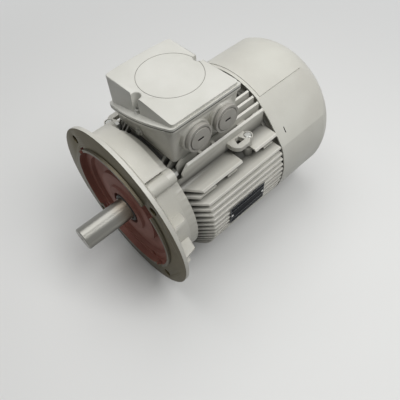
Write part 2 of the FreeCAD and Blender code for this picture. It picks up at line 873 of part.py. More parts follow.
# Drive-end shield with its flange
def make_flange_shield():
    register = "register_radius - fit_gap"
    shoulder = "bearing_outer_radius - race_wall"
    hub_end = f"({DE_BEARING_REAR} + ring_groove + ring_wall)"
    body = turned_piece(
        "flange_shield",
        [
            ("spigot_radius", "0"),
            ("flange_radius", "0"),
            ("flange_radius", "rim_land"),
            ("flange_radius - rim_cone_width", "flange_thickness"),
            ("skirt_radius", "flange_thickness"),
            ("skirt_radius", "joint_face"),
            (register, "joint_face"),
            (register, "joint_face + register_depth"),
            (SKIRT_BORE, "joint_face + register_depth"),
            (SKIRT_BORE, "dish_inner_depth + web_thickness"),
            ("hub_radius", "dish_inner_depth + web_thickness"),
            ("hub_radius", hub_end),
            ("bearing_outer_radius", hub_end),
            ("bearing_outer_radius", f"{DE_BEARING_REAR} + ring_groove"),
            ("bearing_outer_radius + ring_depth", f"{DE_BEARING_REAR} + ring_groove"),
            ("bearing_outer_radius + ring_depth", DE_BEARING_REAR),
            ("bearing_outer_radius", DE_BEARING_REAR),
            ("bearing_outer_radius", "de_bearing_front"),
            (shoulder, "de_bearing_front"),
            (shoulder, "de_bearing_front - shaft_clearance"),
            ("bearing_bore_radius + shaft_clearance", "de_bearing_front - shaft_clearance"),
            ("bearing_bore_radius + shaft_clearance", SEAL_SEAT),
            ("seal_recess_radius", SEAL_SEAT),
            ("seal_recess_radius", "hub_face"),
            ("hub_ring_radius", "hub_face"),
            ("hub_ring_radius + shaft_clearance", "dish_depth"),
            ("dish_inner_radius", "dish_depth"),
            ("dish_inner_radius + shaft_clearance", "dish_inner_depth"),
            ("dish_step_radius", "dish_inner_depth"),
            ("dish_step_radius + shaft_clearance", "dish_depth"),
            ("spigot_radius - spigot_wall - shaft_clearance", "dish_depth"),
            ("spigot_radius - spigot_wall", "-spigot_height"),
            ("spigot_radius", "-spigot_height"),
        ],
    )
    length = "joint_face - rim_land"
    top = cross_section(body, "top_sector", "rim_land")
    corners, rounds = ring_sector(SKIRT_BORE, "casing_radius", "sector_start", "180 - sector_start")
    sector = pad(body, outline(top, corners, rounds), length, backward=True)
    mirror(body, sector, "XY_Plane")
    screws = four_places("screw_circle_radius", "screw_angle")
    bosses = circles(cross_section(body, "bosses", "rim_land"), screws, "boss_radius")
    pad(body, bosses, length, backward=True)
    for number, angle in enumerate(GUSSET_ANGLES):
        rib = half_section(body, f"gusset_{number}", angle)
        outline(
            rib,
            [
                ("skirt_radius - shaft_clearance", "rim_land"),
                ("flange_radius - rim_cone_width", "rim_land"),
                ("flange_radius - rim_cone_width", "flange_thickness"),
                ("gusset_radius", "gusset_shoulder"),
                ("skirt_radius - shaft_clearance", "joint_face - register_depth"),
            ],
        )
        pad(body, rib, "gusset_thickness", midplane=True)
    holes = cross_section(body, "bolt_hole", "-spigot_height")
    circles(holes, [(f"{BOLT_CIRCLE} * cos(45)", f"{BOLT_CIRCLE} * sin(45)")], "bolt_hole_radius")
    polar(body, pocket(body, holes, "joint_face"), "4")
    notch = cross_section(body, "spigot_notch", "-spigot_height")
    ring_middle = "(spigot_radius - spigot_wall / 2)"
    outline(
        notch,
        radial_bar("45", f"{ring_middle} - spigot_wall", f"{ring_middle} + spigot_wall", "spigot_notch_width / 2"),
    )
    polar(body, pocket(body, notch, "spigot_height + spigot_notch_depth"), "4")
    threads = cross_section(body, "shield_threads", "joint_face - screw_length + ear_thickness")
    circles(threads, screws, "screw_radius + thread_gap")
    pocket(body, threads, "screw_length")
    finished(body)
    ring = rectangle(
        "bearing_outer_radius - ring_wall",
        DE_BEARING_REAR,
        "bearing_outer_radius + ring_depth",
        f"{DE_BEARING_REAR} + ring_strip",
    )
    split_ring("de_retaining_ring", ring, "bearing_outer_radius")


# Housing
def short_fin_spans(front, sign):
    """Lengths of the fin under the shelf, which leaves the space below the lug free: a stub and blocks,
    turned half round on the left side like the lugs."""
    block_rear = "short_fin_block_front + short_fin_block_length"
    spans = [(front, "short_fin_stub_end"), ("short_fin_block_front", block_rear)]
    if sign:
        turn = "2 * lug_pair_centre"
        return [(f"{turn} - ({rear})", f"{turn} - ({begin})") for begin, rear in spans]
    spacing = "short_fin_block_spacing"
    return [*spans, (f"short_fin_block_front + {spacing}", f"{block_rear} + {spacing}")]


def fin_boxes():
    """Level fins on both sides, upright fins beside the box, and upright fins across the underside."""
    front = "(joint_face + front_ring_length / 2)"
    root = "(core_radius + 2 * cut_margin)"
    reach = "(casing_radius + cut_margin)"
    fins = []
    half_row = int(value("side_fin_count") - 1) // 2
    for index in range(-half_row, half_row + 1):
        middle = f"(({index}) * fin_pitch)"
        low, high = f"{middle} - fin_thickness / 2", f"{middle} + fin_thickness / 2"
        start = f"sqrt({root} ^ 2 - {middle} ^ 2)"
        short = index == half_row - 1
        tip = "short_fin_reach" if short else reach
        for sign in ("", "-"):
            near, far = (start, tip) if sign == "" else (f"-{tip}", f"-{start}")
            name = f"level_fin_{index + half_row}{'_left' if sign else ''}"
            spans = short_fin_spans(front, sign) if short else [(front, "fin_end")]
            for number, (begin, rear) in enumerate(spans):
                fins.append(block(f"{name}_{number}", (near, begin, low), (far, rear, high)))
    first = int(value("first_top_fin"))
    last = first + int(value("top_fin_count")) - 1
    for index in range(-last, last + 1):
        middle = f"(({index}) * fin_pitch)"
        low, high = f"{middle} - fin_thickness / 2", f"{middle} + fin_thickness / 2"
        start = f"sqrt({root} ^ 2 - {middle} ^ 2)"
        name = f"lower_fin_{index + last}"
        fins.append(block(name, (low, front, f"-{reach}"), (high, "fin_end", f"-{start}")))
        if abs(index) >= first:
            fins.append(block(f"upper_fin_{index + last}", (low, front, start), (high, "fin_end", reach)))
    return fins


def upright(name, places, radius, low, high):
    return [
        cylinder(f"{name}_{number}", radius, f"({high}) - ({low})", across, along, low)
        for number, (across, along) in enumerate(places)
    ]


def lengthwise(name, places, radius, front, rear):
    return [
        cylinder(f"{name}_{number}", radius, f"({rear}) - ({front})", across, front, up, "Y")
        for number, (across, up) in enumerate(places)
    ]


def make_housing():
    barrel = doc.addObject("PartDesign::Body", "barrel")
    seat_rear = "(barrel_end - register_depth)"
    front_ring_end = "(joint_face + front_ring_length)"
    profile = [
        ("register_radius", "joint_face"),
        ("skirt_radius", "joint_face"),
        ("skirt_radius", front_ring_end),
        ("barrel_radius", front_ring_end),
        ("barrel_radius", "barrel_end - front_ring_length"),
        ("skirt_radius", "barrel_end - front_ring_length"),
        ("skirt_radius", "barrel_end"),
        ("register_radius", "barrel_end"),
        ("register_radius", seat_rear),
        ("core_radius", seat_rear),
        ("core_radius", "joint_face + register_depth"),
        ("register_radius", "joint_face + register_depth"),
    ]
    turned(barrel, outline(half_section(barrel, "barrel_profile"), profile))
    envelope = doc.addObject("PartDesign::Body", "envelope")
    slope_end = f"({front_ring_end} + fin_slope_length)"
    space = [
        ("core_radius", "joint_face"),
        ("skirt_radius", "joint_face"),
        ("skirt_radius", front_ring_end),
        ("casing_radius", slope_end),
        ("casing_radius", "cover_front - cover_gap"),
        ("hidden_fin_radius", "cover_front - cover_gap"),
        ("hidden_fin_radius", "barrel_end"),
        ("core_radius", "barrel_end"),
    ]
    turned(envelope, outline(half_section(envelope, "envelope_profile"), space))
    fins = doc.addObject("Part::MultiCommon", "trimmed_fins")
    fins.Shapes = [fused("fins", fin_boxes()), envelope]
    front_screws = four_places("screw_circle_radius", "screw_angle")
    rear_screws = four_places("rear_screw_circle_radius", "screw_angle")
    seat = new_body("box_seat")
    corners, rounds = rounded("box_seat_half_width", "base_half_length", "box_corner", "box_centre")
    seat_low = "sqrt(core_radius ^ 2 - box_seat_half_width ^ 2)"
    pad(seat, outline(plan(seat, "box_seat_plan", seat_low), corners, rounds), f"box_seat_height - {seat_low}")
    ribs = []
    inner_fin = "fin_pitch * (first_top_fin + top_fin_count - 2)"
    for number, side in enumerate(("-", "+")):
        centre = f"(box_centre {side} rib_spacing / 2 - rib_shift)"
        root = f"sqrt(core_radius ^ 2 - ({inner_fin} + fin_pitch) ^ 2)"
        low = (inner_fin, f"{centre} - rib_thickness / 2", root)
        high = (f"{inner_fin} + fin_pitch", f"{centre} + rib_thickness / 2", "rib_height")
        ribs.append(block(f"cross_rib_{number}", low, high))
    bridge_front = "lug_centre + bridge_offset"
    bridge_rear = f"{bridge_front} + bridge_length"
    low, high = (inner_fin, bridge_front, root), (f"{inner_fin} + fin_pitch", bridge_rear, "bridge_height")
    ribs.append(block("bridge_right", low, high))
    low = (f"-({inner_fin} + fin_pitch)", f"2 * lug_pair_centre - ({bridge_rear})", root)
    high = (f"-{inner_fin}", f"2 * lug_pair_centre - ({bridge_front})", "bridge_height")
    ribs.append(block("bridge_left", low, high))
    ear_end = "joint_face + ear_thickness"
    solid = [barrel, fins, seat, *ribs]
    solid += lengthwise("front_ear", front_screws, "boss_radius", "joint_face", ear_end)
    rear_ear = ("rear_ear_radius", "barrel_end - rear_ear_length", "barrel_end")
    solid += lengthwise("rear_ear", rear_screws, *rear_ear)
    post_low = f"{SHELF_TOP} - lug_post_depth"
    solid += upright("lug_post", lug_screw_places(), "lug_post_radius", post_low, SHELF_TOP)
    blank = fused("housing_blank", solid)
    hole = "screw_radius + thread_gap"
    head_end = f"{ear_end} + screw_head_height + ring_wall"
    tools = lengthwise("head_space", front_screws, "boss_radius", ear_end, head_end)
    tools += lengthwise("front_hole", front_screws, hole, "joint_face", ear_end)
    tools += lengthwise("rear_hole", rear_screws, hole, "barrel_end + rear_web - screw_length", "barrel_end")
    casing_length = "barrel_end - joint_face"
    tools.append(cylinder("core_space", "core_radius", casing_length, "0", "joint_face", "0", "Y"))
    for name, start in (("front_register", "joint_face"), ("rear_register", seat_rear)):
        tools.append(cylinder(name, "register_radius", "register_depth", "0", start, "0", "Y"))
    # The upright fins stay below the terminal box
    box_x, box_y = "(base_half_width + fin_thickness)", "(base_half_length + fin_thickness)"
    tools.append(
        block(
            "box_space",
            (f"-{box_x}", f"box_centre - {box_y}", "box_seat_height"),
            (box_x, f"box_centre + {box_y}", "casing_radius"),
        )
    )
    tools += upright("lug_tap", lug_screw_places(), hole, f"{post_low} + ring_wall", SHELF_TOP)
    face = ("lug_boss_radius + fit_gap", SHELF_TOP, f"{SHELF_TOP} + ring_wall")
    tools += upright("lug_spot_face", lug_screw_places(), *face)
    small_hole = "small_screw_radius + thread_gap"
    tap_low = "box_seat_height - small_screw_length"
    tools += upright("box_tap", box_screw_places(), small_hole, tap_low, "box_seat_height")
    for number, along in enumerate(rivet_places()):
        radius, place_x = "rivet_radius + thread_gap", "casing_radius - rivet_depth"
        tools.append(cylinder(f"rivet_hole_{number}", radius, "rivet_depth", place_x, along, "0", "X"))
    half_x, half_y = "lead_opening_half_width", "lead_opening_half_length"
    tools.append(
        block(
            "lead_opening",
            (f"-{half_x}", f"box_centre - {half_y}", "core_radius / 2"),
            (half_x, f"box_centre + {half_y}", "box_seat_height"),
        )
    )
    # The level shelf fin is cut away beneath each lug, so that a hook passes down through the eye
    left_centre = "(2 * lug_pair_centre - lug_centre)"
    for name, sign, centre in (("right", "", "lug_centre"), ("left", "-", left_centre)):
        outer = "casing_radius"
        inner = f"({LUG_X} + fin_thickness / 2)"
        low_x, high_x = (inner, outer) if sign == "" else (f"-{outer}", f"-{inner}")
        notch_low = (low_x, f"{centre} - lug_notch_half_length", f"{SHELF_TOP} - fin_pitch / 2")
        notch_high = (high_x, f"{centre} + lug_notch_half_length", SHELF_TOP)
        tools.append(block(f"shelf_notch_{name}", notch_low, notch_high))
    finished(cut("housing", blank, fused("housing_cuts", tools)))


def lug_screw_places():
    """The lugs' screws: one lug on each side, turned half round from the other about the upright axis."""
    across = f"({LUG_X} + lug_boss_inset + lug_boss_radius)"
    return [
        (across, "lug_centre + lug_boss_offset"),
        (f"-{across}", "2 * lug_pair_centre - lug_centre - lug_boss_offset"),
    ]


def box_screw_places():
    half_x, half_y = "base_screw_half_x", "base_screw_half_y"
    return [
        (half_x, f"box_centre + {half_y}"),
        (f"-{half_x}", f"box_centre + {half_y}"),
        (f"-{half_x}", f"box_centre - {half_y}"),
        (half_x, f"box_centre - {half_y}"),
    ]


def rivet_places():
    return ["plate_front + rivet_margin", "plate_front + plate_length - rivet_margin"]


# Lifting lugs
def make_lugs():
    """A level eye beside the outer upright fin, screwed down over a round post; the left one is the right one
    turned half round."""
    lug = new_body("lug_right")
    across, along = lug_screw_places()[0]
    top = f"({LUG_LOW} + lug_thickness)"
    shoulder, bar = f"{LUG_X} + lug_shoulder", f"{LUG_X} + lug_reach"
    eye = plan(lug, "eye", LUG_LOW)
    outline(
        eye,
        [
            (LUG_X, "lug_centre - lug_half_length"),
            (shoulder, "lug_centre - lug_half_length"),
            (bar, "lug_centre - lug_bar_half_length"),
            (bar, "lug_centre + lug_bar_half_length"),
            (shoulder, "lug_centre + lug_half_length"),
            (LUG_X, "lug_centre + lug_half_length"),
        ],
        {1: "lug_rounding", 3: "lug_rounding"},
    )
    pad(lug, eye, "lug_thickness")
    boss = circles(plan(lug, "lug_boss", SHELF_TOP), [(across, along)], "lug_boss_radius")
    pad(lug, boss, "lug_lift + lug_thickness")
    hole = plan(lug, "lug_hole", top)
    apex, base = f"{LUG_X} + lug_hole_start", f"{LUG_X} + lug_hole_reach"
    outline(
        hole,
        [
            (apex, "lug_centre - lug_apex_half_length"),
            (base, "lug_centre - lug_hole_half_length"),
            (base, "lug_centre + lug_hole_half_length"),
            (apex, "lug_centre + lug_apex_half_length"),
        ],
    )
    pocket(lug, hole, "lug_thickness")
    seat = circles(plan(lug, "lug_screw_seat", top), [(across, along)], "screw_head_radius + thread_gap")
    pocket(lug, seat, "screw_head_height / 2")
    drilled = circles(plan(lug, "lug_drill", top), [(across, along)], "screw_radius + thread_gap")
    pocket(lug, drilled, "lug_lift + lug_thickness")
    bolt = screw(
        "lug_screw_right",
        "screw_radius",
        "lug_lift + lug_thickness - screw_head_height / 2 + lug_post_depth - 2 * ring_wall",
        "screw_head_radius",
        "screw_head_height / 2",
        across,
        along,
        f"{top} - screw_head_height / 2",
        "Z",
    )
    group("lifting_lugs", [lug, turned_copy("lug_left", lug)])
    group("lug_screws", [bolt, turned_copy("lug_screw_left", bolt)])


def turned_copy(name, piece):
    """The same piece on the other side, turned half round about the upright line between the two lugs."""
    copy = doc.addObject("App::Link", name)
    copy.LinkedObject = piece
    copy.Placement = Placement(Vector(), Rotation(Vector(0, 0, 1), 180))
    bind(copy, "Placement.Base.y", "2 * lug_pair_centre")
    return copy


# Rear shield
def make_nde_shield():
    register = "register_radius - fit_gap"
    face = "barrel_end"
    hub_front = "(nde_bearing_front - shaft_clearance)"
    spring_end = f"({NDE_BEARING_REAR} + spring_space)"
    body = turned_piece(
        "nde_shield",
        [
            ("bearing_outer_radius", hub_front),
            ("rear_hub_radius", hub_front),
            ("rear_hub_radius", "barrel_end + shaft_clearance"),
            (SKIRT_BORE, "barrel_end + shaft_clearance"),
            (SKIRT_BORE, "barrel_end - register_depth"),
            (register, "barrel_end - register_depth"),
            (register, face),
            ("skirt_radius", face),
            ("skirt_radius", "barrel_end + rear_web"),
            ("rear_hub_radius + rear_web", "barrel_end + rear_web"),
            ("rear_hub_radius", REAR_HUB_END),
            ("bearing_bore_radius + shaft_clearance", REAR_HUB_END),
            ("bearing_bore_radius + shaft_clearance", f"{REAR_HUB_END} - rear_end_wall + shaft_clearance"),
            ("bearing_outer_radius - race_wall", spring_end),
            ("bearing_outer_radius", spring_end),
        ],
    )
    ears = circles(
        cross_section(body, "shield_ears", face),
        four_places("rear_screw_circle_radius", "screw_angle"),
        "rear_ear_radius",
    )
    pad(body, ears, "rear_web", backward=True)
    # Arms out to the fan cover, each with a tongue in the cover's latch slot
    for number, angle in enumerate(LATCH_ANGLES):
        arm = cross_section(body, f"arm_{number}", "arm_start")
        outline(arm, radial_bar(angle, SKIRT_BORE, f"{COVER_INSIDE} - latch_gap", "arm_half_width"))
        pad(body, arm, "arm_thickness", backward=True)
        tongue = cross_section(body, f"tongue_{number}", "latch_start + latch_gap / 2")
        outline(
            tongue,
            radial_bar(
                angle,
                SKIRT_BORE,
                f"{COVER_INSIDE} + cover_wall - latch_gap",
                "latch_slot_half_width - latch_gap",
            ),
        )
        pad(body, tongue, "latch_slot_length - latch_gap", backward=True)
    holes = circles(
        cross_section(body, "shield_holes", face),
        four_places("rear_screw_circle_radius", "screw_angle"),
        "screw_radius + thread_gap",
    )
    pocket(body, holes, "rear_web")
    finished(body)
    spring = rectangle(
        "bearing_outer_radius - race_wall", NDE_BEARING_REAR, "bearing_outer_radius - fit_gap", spring_end
    )
    finished(turned_piece("wave_spring", spring))


def make_shield_screws():
    front = []
    rear = []
    for number, spot in enumerate(four_places("screw_circle_radius", "screw_angle")):
        front.append(
            screw(
                f"front_screw_{number}",
                "screw_radius",
                "screw_length",
                "screw_head_radius",
                "screw_head_height",
                spot[0],
                "joint_face + ear_thickness",
                spot[1],
                "Y",
            )
        )
    for number, spot in enumerate(four_places("rear_screw_circle_radius", "screw_angle")):
        rear.append(
            screw(
                f"rear_screw_{number}",
                "screw_radius",
                "screw_length",
                "screw_head_radius",
                "screw_head_height",
                spot[0],
                "barrel_end + rear_web",
                spot[1],
                "Y",
            )
        )
    group("de_shield_screws", front)
    group("nde_shield_screws", rear)


# Fan cover
def cover_solid(name, inset, front, rear):
    """The cover's outer shape, or with an inset its inner space: a tube with crowned diagonal facets and a
    raised top panel, rounded over into the rear face."""
    radius = f"(cover_radius - {inset})"
    panel = f"(cover_radius + panel_step - {inset})"
    spots = [
        (f"{radius} * cos(facet_start)", f"{radius} * sin(facet_start)"),
        (f"{radius} * cos(panel_start)", f"{radius} * sin(panel_start)"),
        (f"{panel} * cos(panel_start)", f"{panel} * sin(panel_start)"),
        (f"-{panel} * cos(panel_start)", f"{panel} * sin(panel_start)"),
        (f"-{radius} * cos(panel_start)", f"{radius} * sin(panel_start)"),
        (f"-{radius} * cos(facet_start)", f"{radius} * sin(facet_start)"),
        ("0", f"-{radius}"),
    ]
    facet = f"(facet_crown_radius - {inset})"
    body = doc.addObject("PartDesign::Body", name)
    rounds = {0: facet, 2: panel, 4: facet, 5: radius, 6: radius}
    tube = outline(cross_section(body, f"{name}_tube", front), spots, rounds)
    pad(body, tube, f"{rear} - ({front})", backward=True)
    dome = half_section(body, f"{name}_dome")
    far = "2 * cover_radius"
    outline(
        dome,
        [
            (f"{panel} + fit_gap", "dome_start"),
            (far, "dome_start"),
            (far, f"{rear} + cut_margin"),
            (f"rear_face_radius - {inset} / 2", f"{rear} + cut_margin"),
            (f"rear_face_radius - {inset} / 2", rear),
        ],
        {4: f"-(dome_radius - {inset} / 2)"},
    )
    turned(body, dome, "PartDesign::Groove")
    return body


def make_fan_cover():
    outer = cover_solid("cover_outside", "0", "cover_front", "cover_rear")
    # Air-intake grille: rings of slots in eight sectors
    for number in range(GRILLE_RINGS):
        slot = cross_section(outer, f"grille_{number}", "cover_rear - 2 * cover_wall")
        inner = f"(grille_first_radius + {number} * grille_pitch)"
        corners, rounds = ring_sector(
            inner, f"({inner} + grille_slot)", "grille_spoke_angle / 2", "grille_sector - grille_spoke_angle / 2"
        )
        polar(outer, pocket(outer, outline(slot, corners, rounds), "3 * cover_wall"), "360 / grille_sector")
    inner = cover_solid("cover_inside", "cover_wall", "cover_front - cut_margin", "cover_rear - cover_wall")
    shell = cut("cover_shell", outer, inner)
    slots = new_body("latch_slots")
    for number, angle in enumerate(LATCH_ANGLES):
        slot = cross_section(slots, f"latch_slot_{number}", "latch_start")
        outline(slot, radial_bar(angle, "skirt_radius", "cover_radius + cover_wall", "latch_slot_half_width"))
        pad(slots, slot, "latch_slot_length", backward=True)
    # The raised top panel ends short of the front edge, with a fine groove along each side
    band = cross_section(slots, "panel_front_band", "cover_front - cut_margin")
    corners, rounds = ring_sector(
        "cover_radius", "cover_radius + 2 * panel_step", "panel_start - 1", "180 - panel_start + 1"
    )
    pad(slots, outline(band, corners, rounds), "panel_front - cover_front + cut_margin", backward=True)
    for number, angle in enumerate(("panel_start", "180 - panel_start")):
        groove = cross_section(slots, f"panel_groove_{number}", "panel_front")
        low, high = "cover_radius - panel_groove_depth", "cover_radius + 2 * panel_step"
        outline(groove, radial_bar(angle, low, high, "panel_groove_width / 2"))
        pad(slots, groove, "panel_groove_end - panel_front", backward=True)
    finished(cut("fan_cover", shell, slots))


# Terminal box
def above_parting(body, name, lift, below=False):
    """Cuts away everything above, or below, the oblique joint plane moved up by lift."""
    far = "2 * flange_radius"
    side = cross_section(body, name, "box_centre")
    low = f"{parting(f'-{far}')} + {lift}"
    high = f"{parting(far)} + {lift}"
    if below:
        corners = [(f"-{far}", f"-{far}"), (far, f"-{far}"), (far, high), (f"-{far}", low)]
    else:
        corners = [(f"-{far}", low), (far, high), (far, f"3 * {far}"), (f"-{far}", f"3 * {far}")]
    outline(side, corners)
    return pocket(body, side, "2 * flange_radius", midplane=True)


def rim_plan(body, name):
    """The box's rim seen from above: its ends bow outwards over the screws."""
    half_x = "box_half_width + rim_overhang"
    half_y = "box_half_length + rim_overhang"
    low, high = f"box_centre - ({half_y})", f"box_centre + ({half_y})"
    corners = rectangle(f"-({half_x})", low, half_x, high)
    sketch = outline(plan(body, name, "box_seat_height"), corners, {0: "rim_bow_radius", 2: "rim_bow_radius"})
    feature = pad(body, sketch, f"{BOX_TOP} - box_seat_height")
    return rounded_edges(body, feature, f"{name}_corners", "box_corner")


def rounded_edges(body, feature, name, radius):
    """Rounds the upright edges of a feature."""
    doc.recompute()
    names = [
        f"Edge{number}"
        for number, edge in enumerate(feature.Shape.Edges, start=1)
        if isinstance(edge.Curve, Part.Line) and abs(edge.Curve.Direction.z) > 0.999
    ]
    round_off = body.newObject("PartDesign::Fillet", name)
    round_off.Base = (feature, names)
    bind(round_off, "Radius", radius)
    return round_off


def cover_plan(inset):
    corners, rounds = rounded(
        f"box_half_width - {inset}", f"box_half_length - {inset}", f"(box_corner - {inset} / 2)", "box_centre"
    )
    rounds[6] = "box_left_bow_radius"
    return corners, rounds


def screw_walls(body, name, low):
    """Half-round walls around the two cover screws, inside the ends of the box."""
    half = "(notch_radius + notch_wall)"
    sketch = plan(body, name, low)
    for side in ("-", "+"):
        end = f"(box_centre {side} box_half_length)"
        inward = "+" if side == "-" else "-"
        near = f"{end} {inward} box_wall / 2"
        far = f"{end} {inward} notch_inset"
        low_x, high_x = f"cover_screw_shift - {half}", f"cover_screw_shift + {half}"
        corners = [(low_x, near), (high_x, near), (high_x, far), (low_x, far)]
        if side == "-":
            outline(sketch, corners, {2: f"({half} + fit_gap)"})
        else:
            outline(sketch, corners, {2: f"-({half} + fit_gap)"})
    return pad(body, sketch, f"{BOX_TOP} - ({low})")


def cover_screw_places():
    return [
        ("cover_screw_shift", "box_centre - box_half_length + notch_inset"),
        ("cover_screw_shift", "box_centre + box_half_length - notch_inset"),
    ]


def make_box_cover():
    body = new_body("terminal_box_cover")
    rim_plan(body, "cover_rim")
    above_parting(body, "cover_rim_top", "gasket_thickness + rim_thickness")
    corners, rounds = cover_plan("0")
    walls = outline(plan(body, "cover_walls", "box_seat_height"), corners, rounds)
    pad(body, walls, f"{BOX_TOP} - box_seat_height")
    corners, rounds = cover_plan("box_wall")
    space = outline(plan(body, "cover_space", f"{BOX_TOP} - box_wall"), corners, rounds)
    pocket(body, space, f"{BOX_TOP} - box_wall - core_radius")
    screw_walls(body, "cover_screw_walls", "box_seat_height")
    notches = circles(plan(body, "notches", BOX_TOP), cover_screw_places(), "notch_radius")
    pocket(body, notches, f"{BOX_TOP} - {COVER_SCREW_SEAT}")
    above_parting(body, "cover_joint", "gasket_thickness", below=True)
    clearance = "cover_screw_radius + thread_gap"
    holes = circles(plan(body, "cover_holes", BOX_TOP), cover_screw_places(), clearance)
    pocket(body, holes, f"{BOX_TOP} - core_radius")
    ring = plan(body, "top_ring", BOX_TOP)
    middle = [("groove_circle_shift_x", "box_centre + groove_circle_shift_y")]
    circles(ring, middle, "groove_circle_radius")
    circles(ring, middle, "groove_circle_radius - groove_circle_width")
    pocket(body, ring, "groove_circle_depth")
    finished(body)


def make_cover_gasket():
    body = new_body("cover_gasket")
    rim_plan(body, "gasket_rim")
    corners, rounds = cover_plan("box_wall")
    pocket(body, outline(plan(body, "gasket_space", BOX_TOP), corners, rounds), f"{BOX_TOP} - core_radius")
    screw_walls(body, "gasket_screw_walls", "box_seat_height")
    above_parting(body, "gasket_top", "gasket_thickness")
    above_parting(body, "gasket_bottom", "0", below=True)
    clearance = "cover_screw_radius + thread_gap"
    holes = circles(plan(body, "gasket_holes", BOX_TOP), cover_screw_places(), clearance)
    pocket(body, holes, f"{BOX_TOP} - core_radius")
    finished(body)


def lead_opening_plan():
    return rounded("lead_opening_half_width", "lead_opening_half_length", "box_corner", "box_centre")


def make_box_base():
    body = new_body("terminal_box_base")
    rim_plan(body, "base_rim")
    above_parting(body, "base_rim_bottom", "-rim_thickness", below=True)
    corners, rounds = rounded("base_half_width", "base_half_length", "box_corner", "box_centre")
    walls = outline(plan(body, "base_walls", BASE_BOTTOM), corners, rounds)
    pad(body, walls, f"{BOX_TOP} - {BASE_BOTTOM}", draft="base_draft")
    collars = sketch_on(body, "YZ_Plane", "plug_collars", "plug_seat")
    circles(collars, plug_places(), "plug_collar_radius")
    pad(body, collars, "plug_seat - base_half_width - box_wall", backward=True)
    corners, rounds = rounded(
        "base_half_width - box_wall", "base_half_length - box_wall", "box_corner / 2", "box_centre"
    )
    space = outline(plan(body, "base_space", BASE_FLOOR_TOP), corners, rounds)
    hollow = pocket(body, space, f"{BOX_TOP} - {BASE_FLOOR_TOP}", backward=True)
    bind(hollow, "TaperAngle", "base_draft")
    screw_walls(body, "base_screw_walls", BASE_BOTTOM)
    earth_place = [("earth_across", "earth_height")]
    boss = circles(cross_section(body, "earth_boss", EARTH_FACE), earth_place, "earth_boss_radius")
    pad(body, boss, "earth_boss_length", backward=True)
    above_parting(body, "base_joint", "0")
    small_hole = "small_screw_radius + thread_gap"
    thread = circles(cross_section(body, "earth_thread", EARTH_FACE), earth_place, small_hole)
    pocket(body, thread, "small_screw_length")
    tapping = "cover_screw_radius + thread_gap"
    holes = circles(plan(body, "base_screw_holes", BOX_TOP), cover_screw_places(), tapping)
    pocket(body, holes, f"{BOX_TOP} - {COVER_SCREW_SEAT} + cover_screw_depth + cut_margin")
    pillars = plan(body, "board_pillars", BASE_BOTTOM)
    circles(pillars, board_screw_places(), "small_screw_head_radius")
    pad(body, pillars, "base_floor + board_lift")
    threads = circles(plan(body, "pillar_threads", BASE_BOTTOM), board_screw_places(), small_hole)
    pocket(body, threads, "base_floor + board_lift", backward=True)
    ports = sketch_on(body, "YZ_Plane", "plug_holes", "plug_seat")
    circles(ports, plug_places(), "plug_thread_radius + thread_gap")
    pocket(body, ports, "plug_seat - board_half_width - board_half_width / 2")
    opening = plan(body, "base_opening", BASE_FLOOR_TOP)
    corners, rounds = lead_opening_plan()
    pocket(body, outline(opening, corners, rounds), "2 * base_floor")
    fixing = circles(plan(body, "base_fixing_holes", BASE_FLOOR_TOP), box_screw_places(), small_hole)
    pocket(body, fixing, "2 * base_floor")
    finished(body)


def make_base_gasket():
    body = new_body("base_gasket")
    corners, rounds = rounded("box_seat_half_width", "base_half_length", "box_corner", "box_centre")
    pad(body, outline(plan(body, "seal_plate", "box_seat_height"), corners, rounds), "gasket_thickness")
    corners, rounds = lead_opening_plan()
    pocket(body, outline(plan(body, "seal_opening", BASE_BOTTOM), corners, rounds), "gasket_thickness")
    clearance = "small_screw_radius + thread_gap"
    holes = circles(plan(body, "seal_holes", BASE_BOTTOM), box_screw_places(), clearance)
    pocket(body, holes, "gasket_thickness")
    finished(body)


def plug_places():
    return [("plug_front", "plug_height"), ("plug_front + plug_spacing", "plug_height")]


def make_plugs():
    plugs = []
    seals = []
    for number, (along, up) in enumerate(plug_places()):
        seat = "(plug_seat + plug_seal)"
        head = cylinder(f"plug_head_{number}", "plug_head_radius", "plug_head_height", seat, along, up, "X")
        bore = ("plug_thread_radius", "plug_thread_length")
        thread = cylinder(f"plug_thread_{number}", *bore, seat, along, up, "-X")
        groove_floor = f"{seat} + plug_head_height - plug_groove_depth"
        inside_rim = "(plug_head_radius - plug_rim_width)"
        recess_size = (inside_rim, "plug_head_height")
        recess = cylinder(f"plug_recess_{number}", *recess_size, groove_floor, along, up, "X")
        disc_size = (f"{inside_rim} - plug_groove_width", "plug_groove_depth + plug_disc_lift")
        raised = cylinder(f"plug_disc_{number}", *disc_size, groove_floor, along, up, "X")
        half, tall = "plug_slot_half_length", "plug_slot_width / 2"
        slot = block(
            f"plug_slot_{number}",
            (f"{seat} + plug_head_height / 2", f"{along} - {half}", f"{up} - {tall}"),
            (f"{seat} + 2 * plug_head_height", f"{along} + {half}", f"{up} + {tall}"),
        )
        blank = cut(f"plug_blank_{number}", fused(f"plug_solid_{number}", [head, thread]), recess)
        plugs.append(cut(f"plug_{number}", fused(f"plug_body_{number}", [blank, raised]), slot))
        seal_radius = "plug_head_radius - box_corner / 2"
        seal = cylinder(f"seal_disc_{number}", seal_radius, "plug_seal", "plug_seat", along, up, "X")
        hole_radius = "plug_thread_radius + thread_gap"
        hole = cylinder(f"seal_hole_{number}", hole_radius, "plug_seal", "plug_seat", along, up, "X")
        seals.append(cut(f"plug_seal_{number}", seal, hole))
    group("blanking_plugs", plugs)
    group("plug_seals", seals)


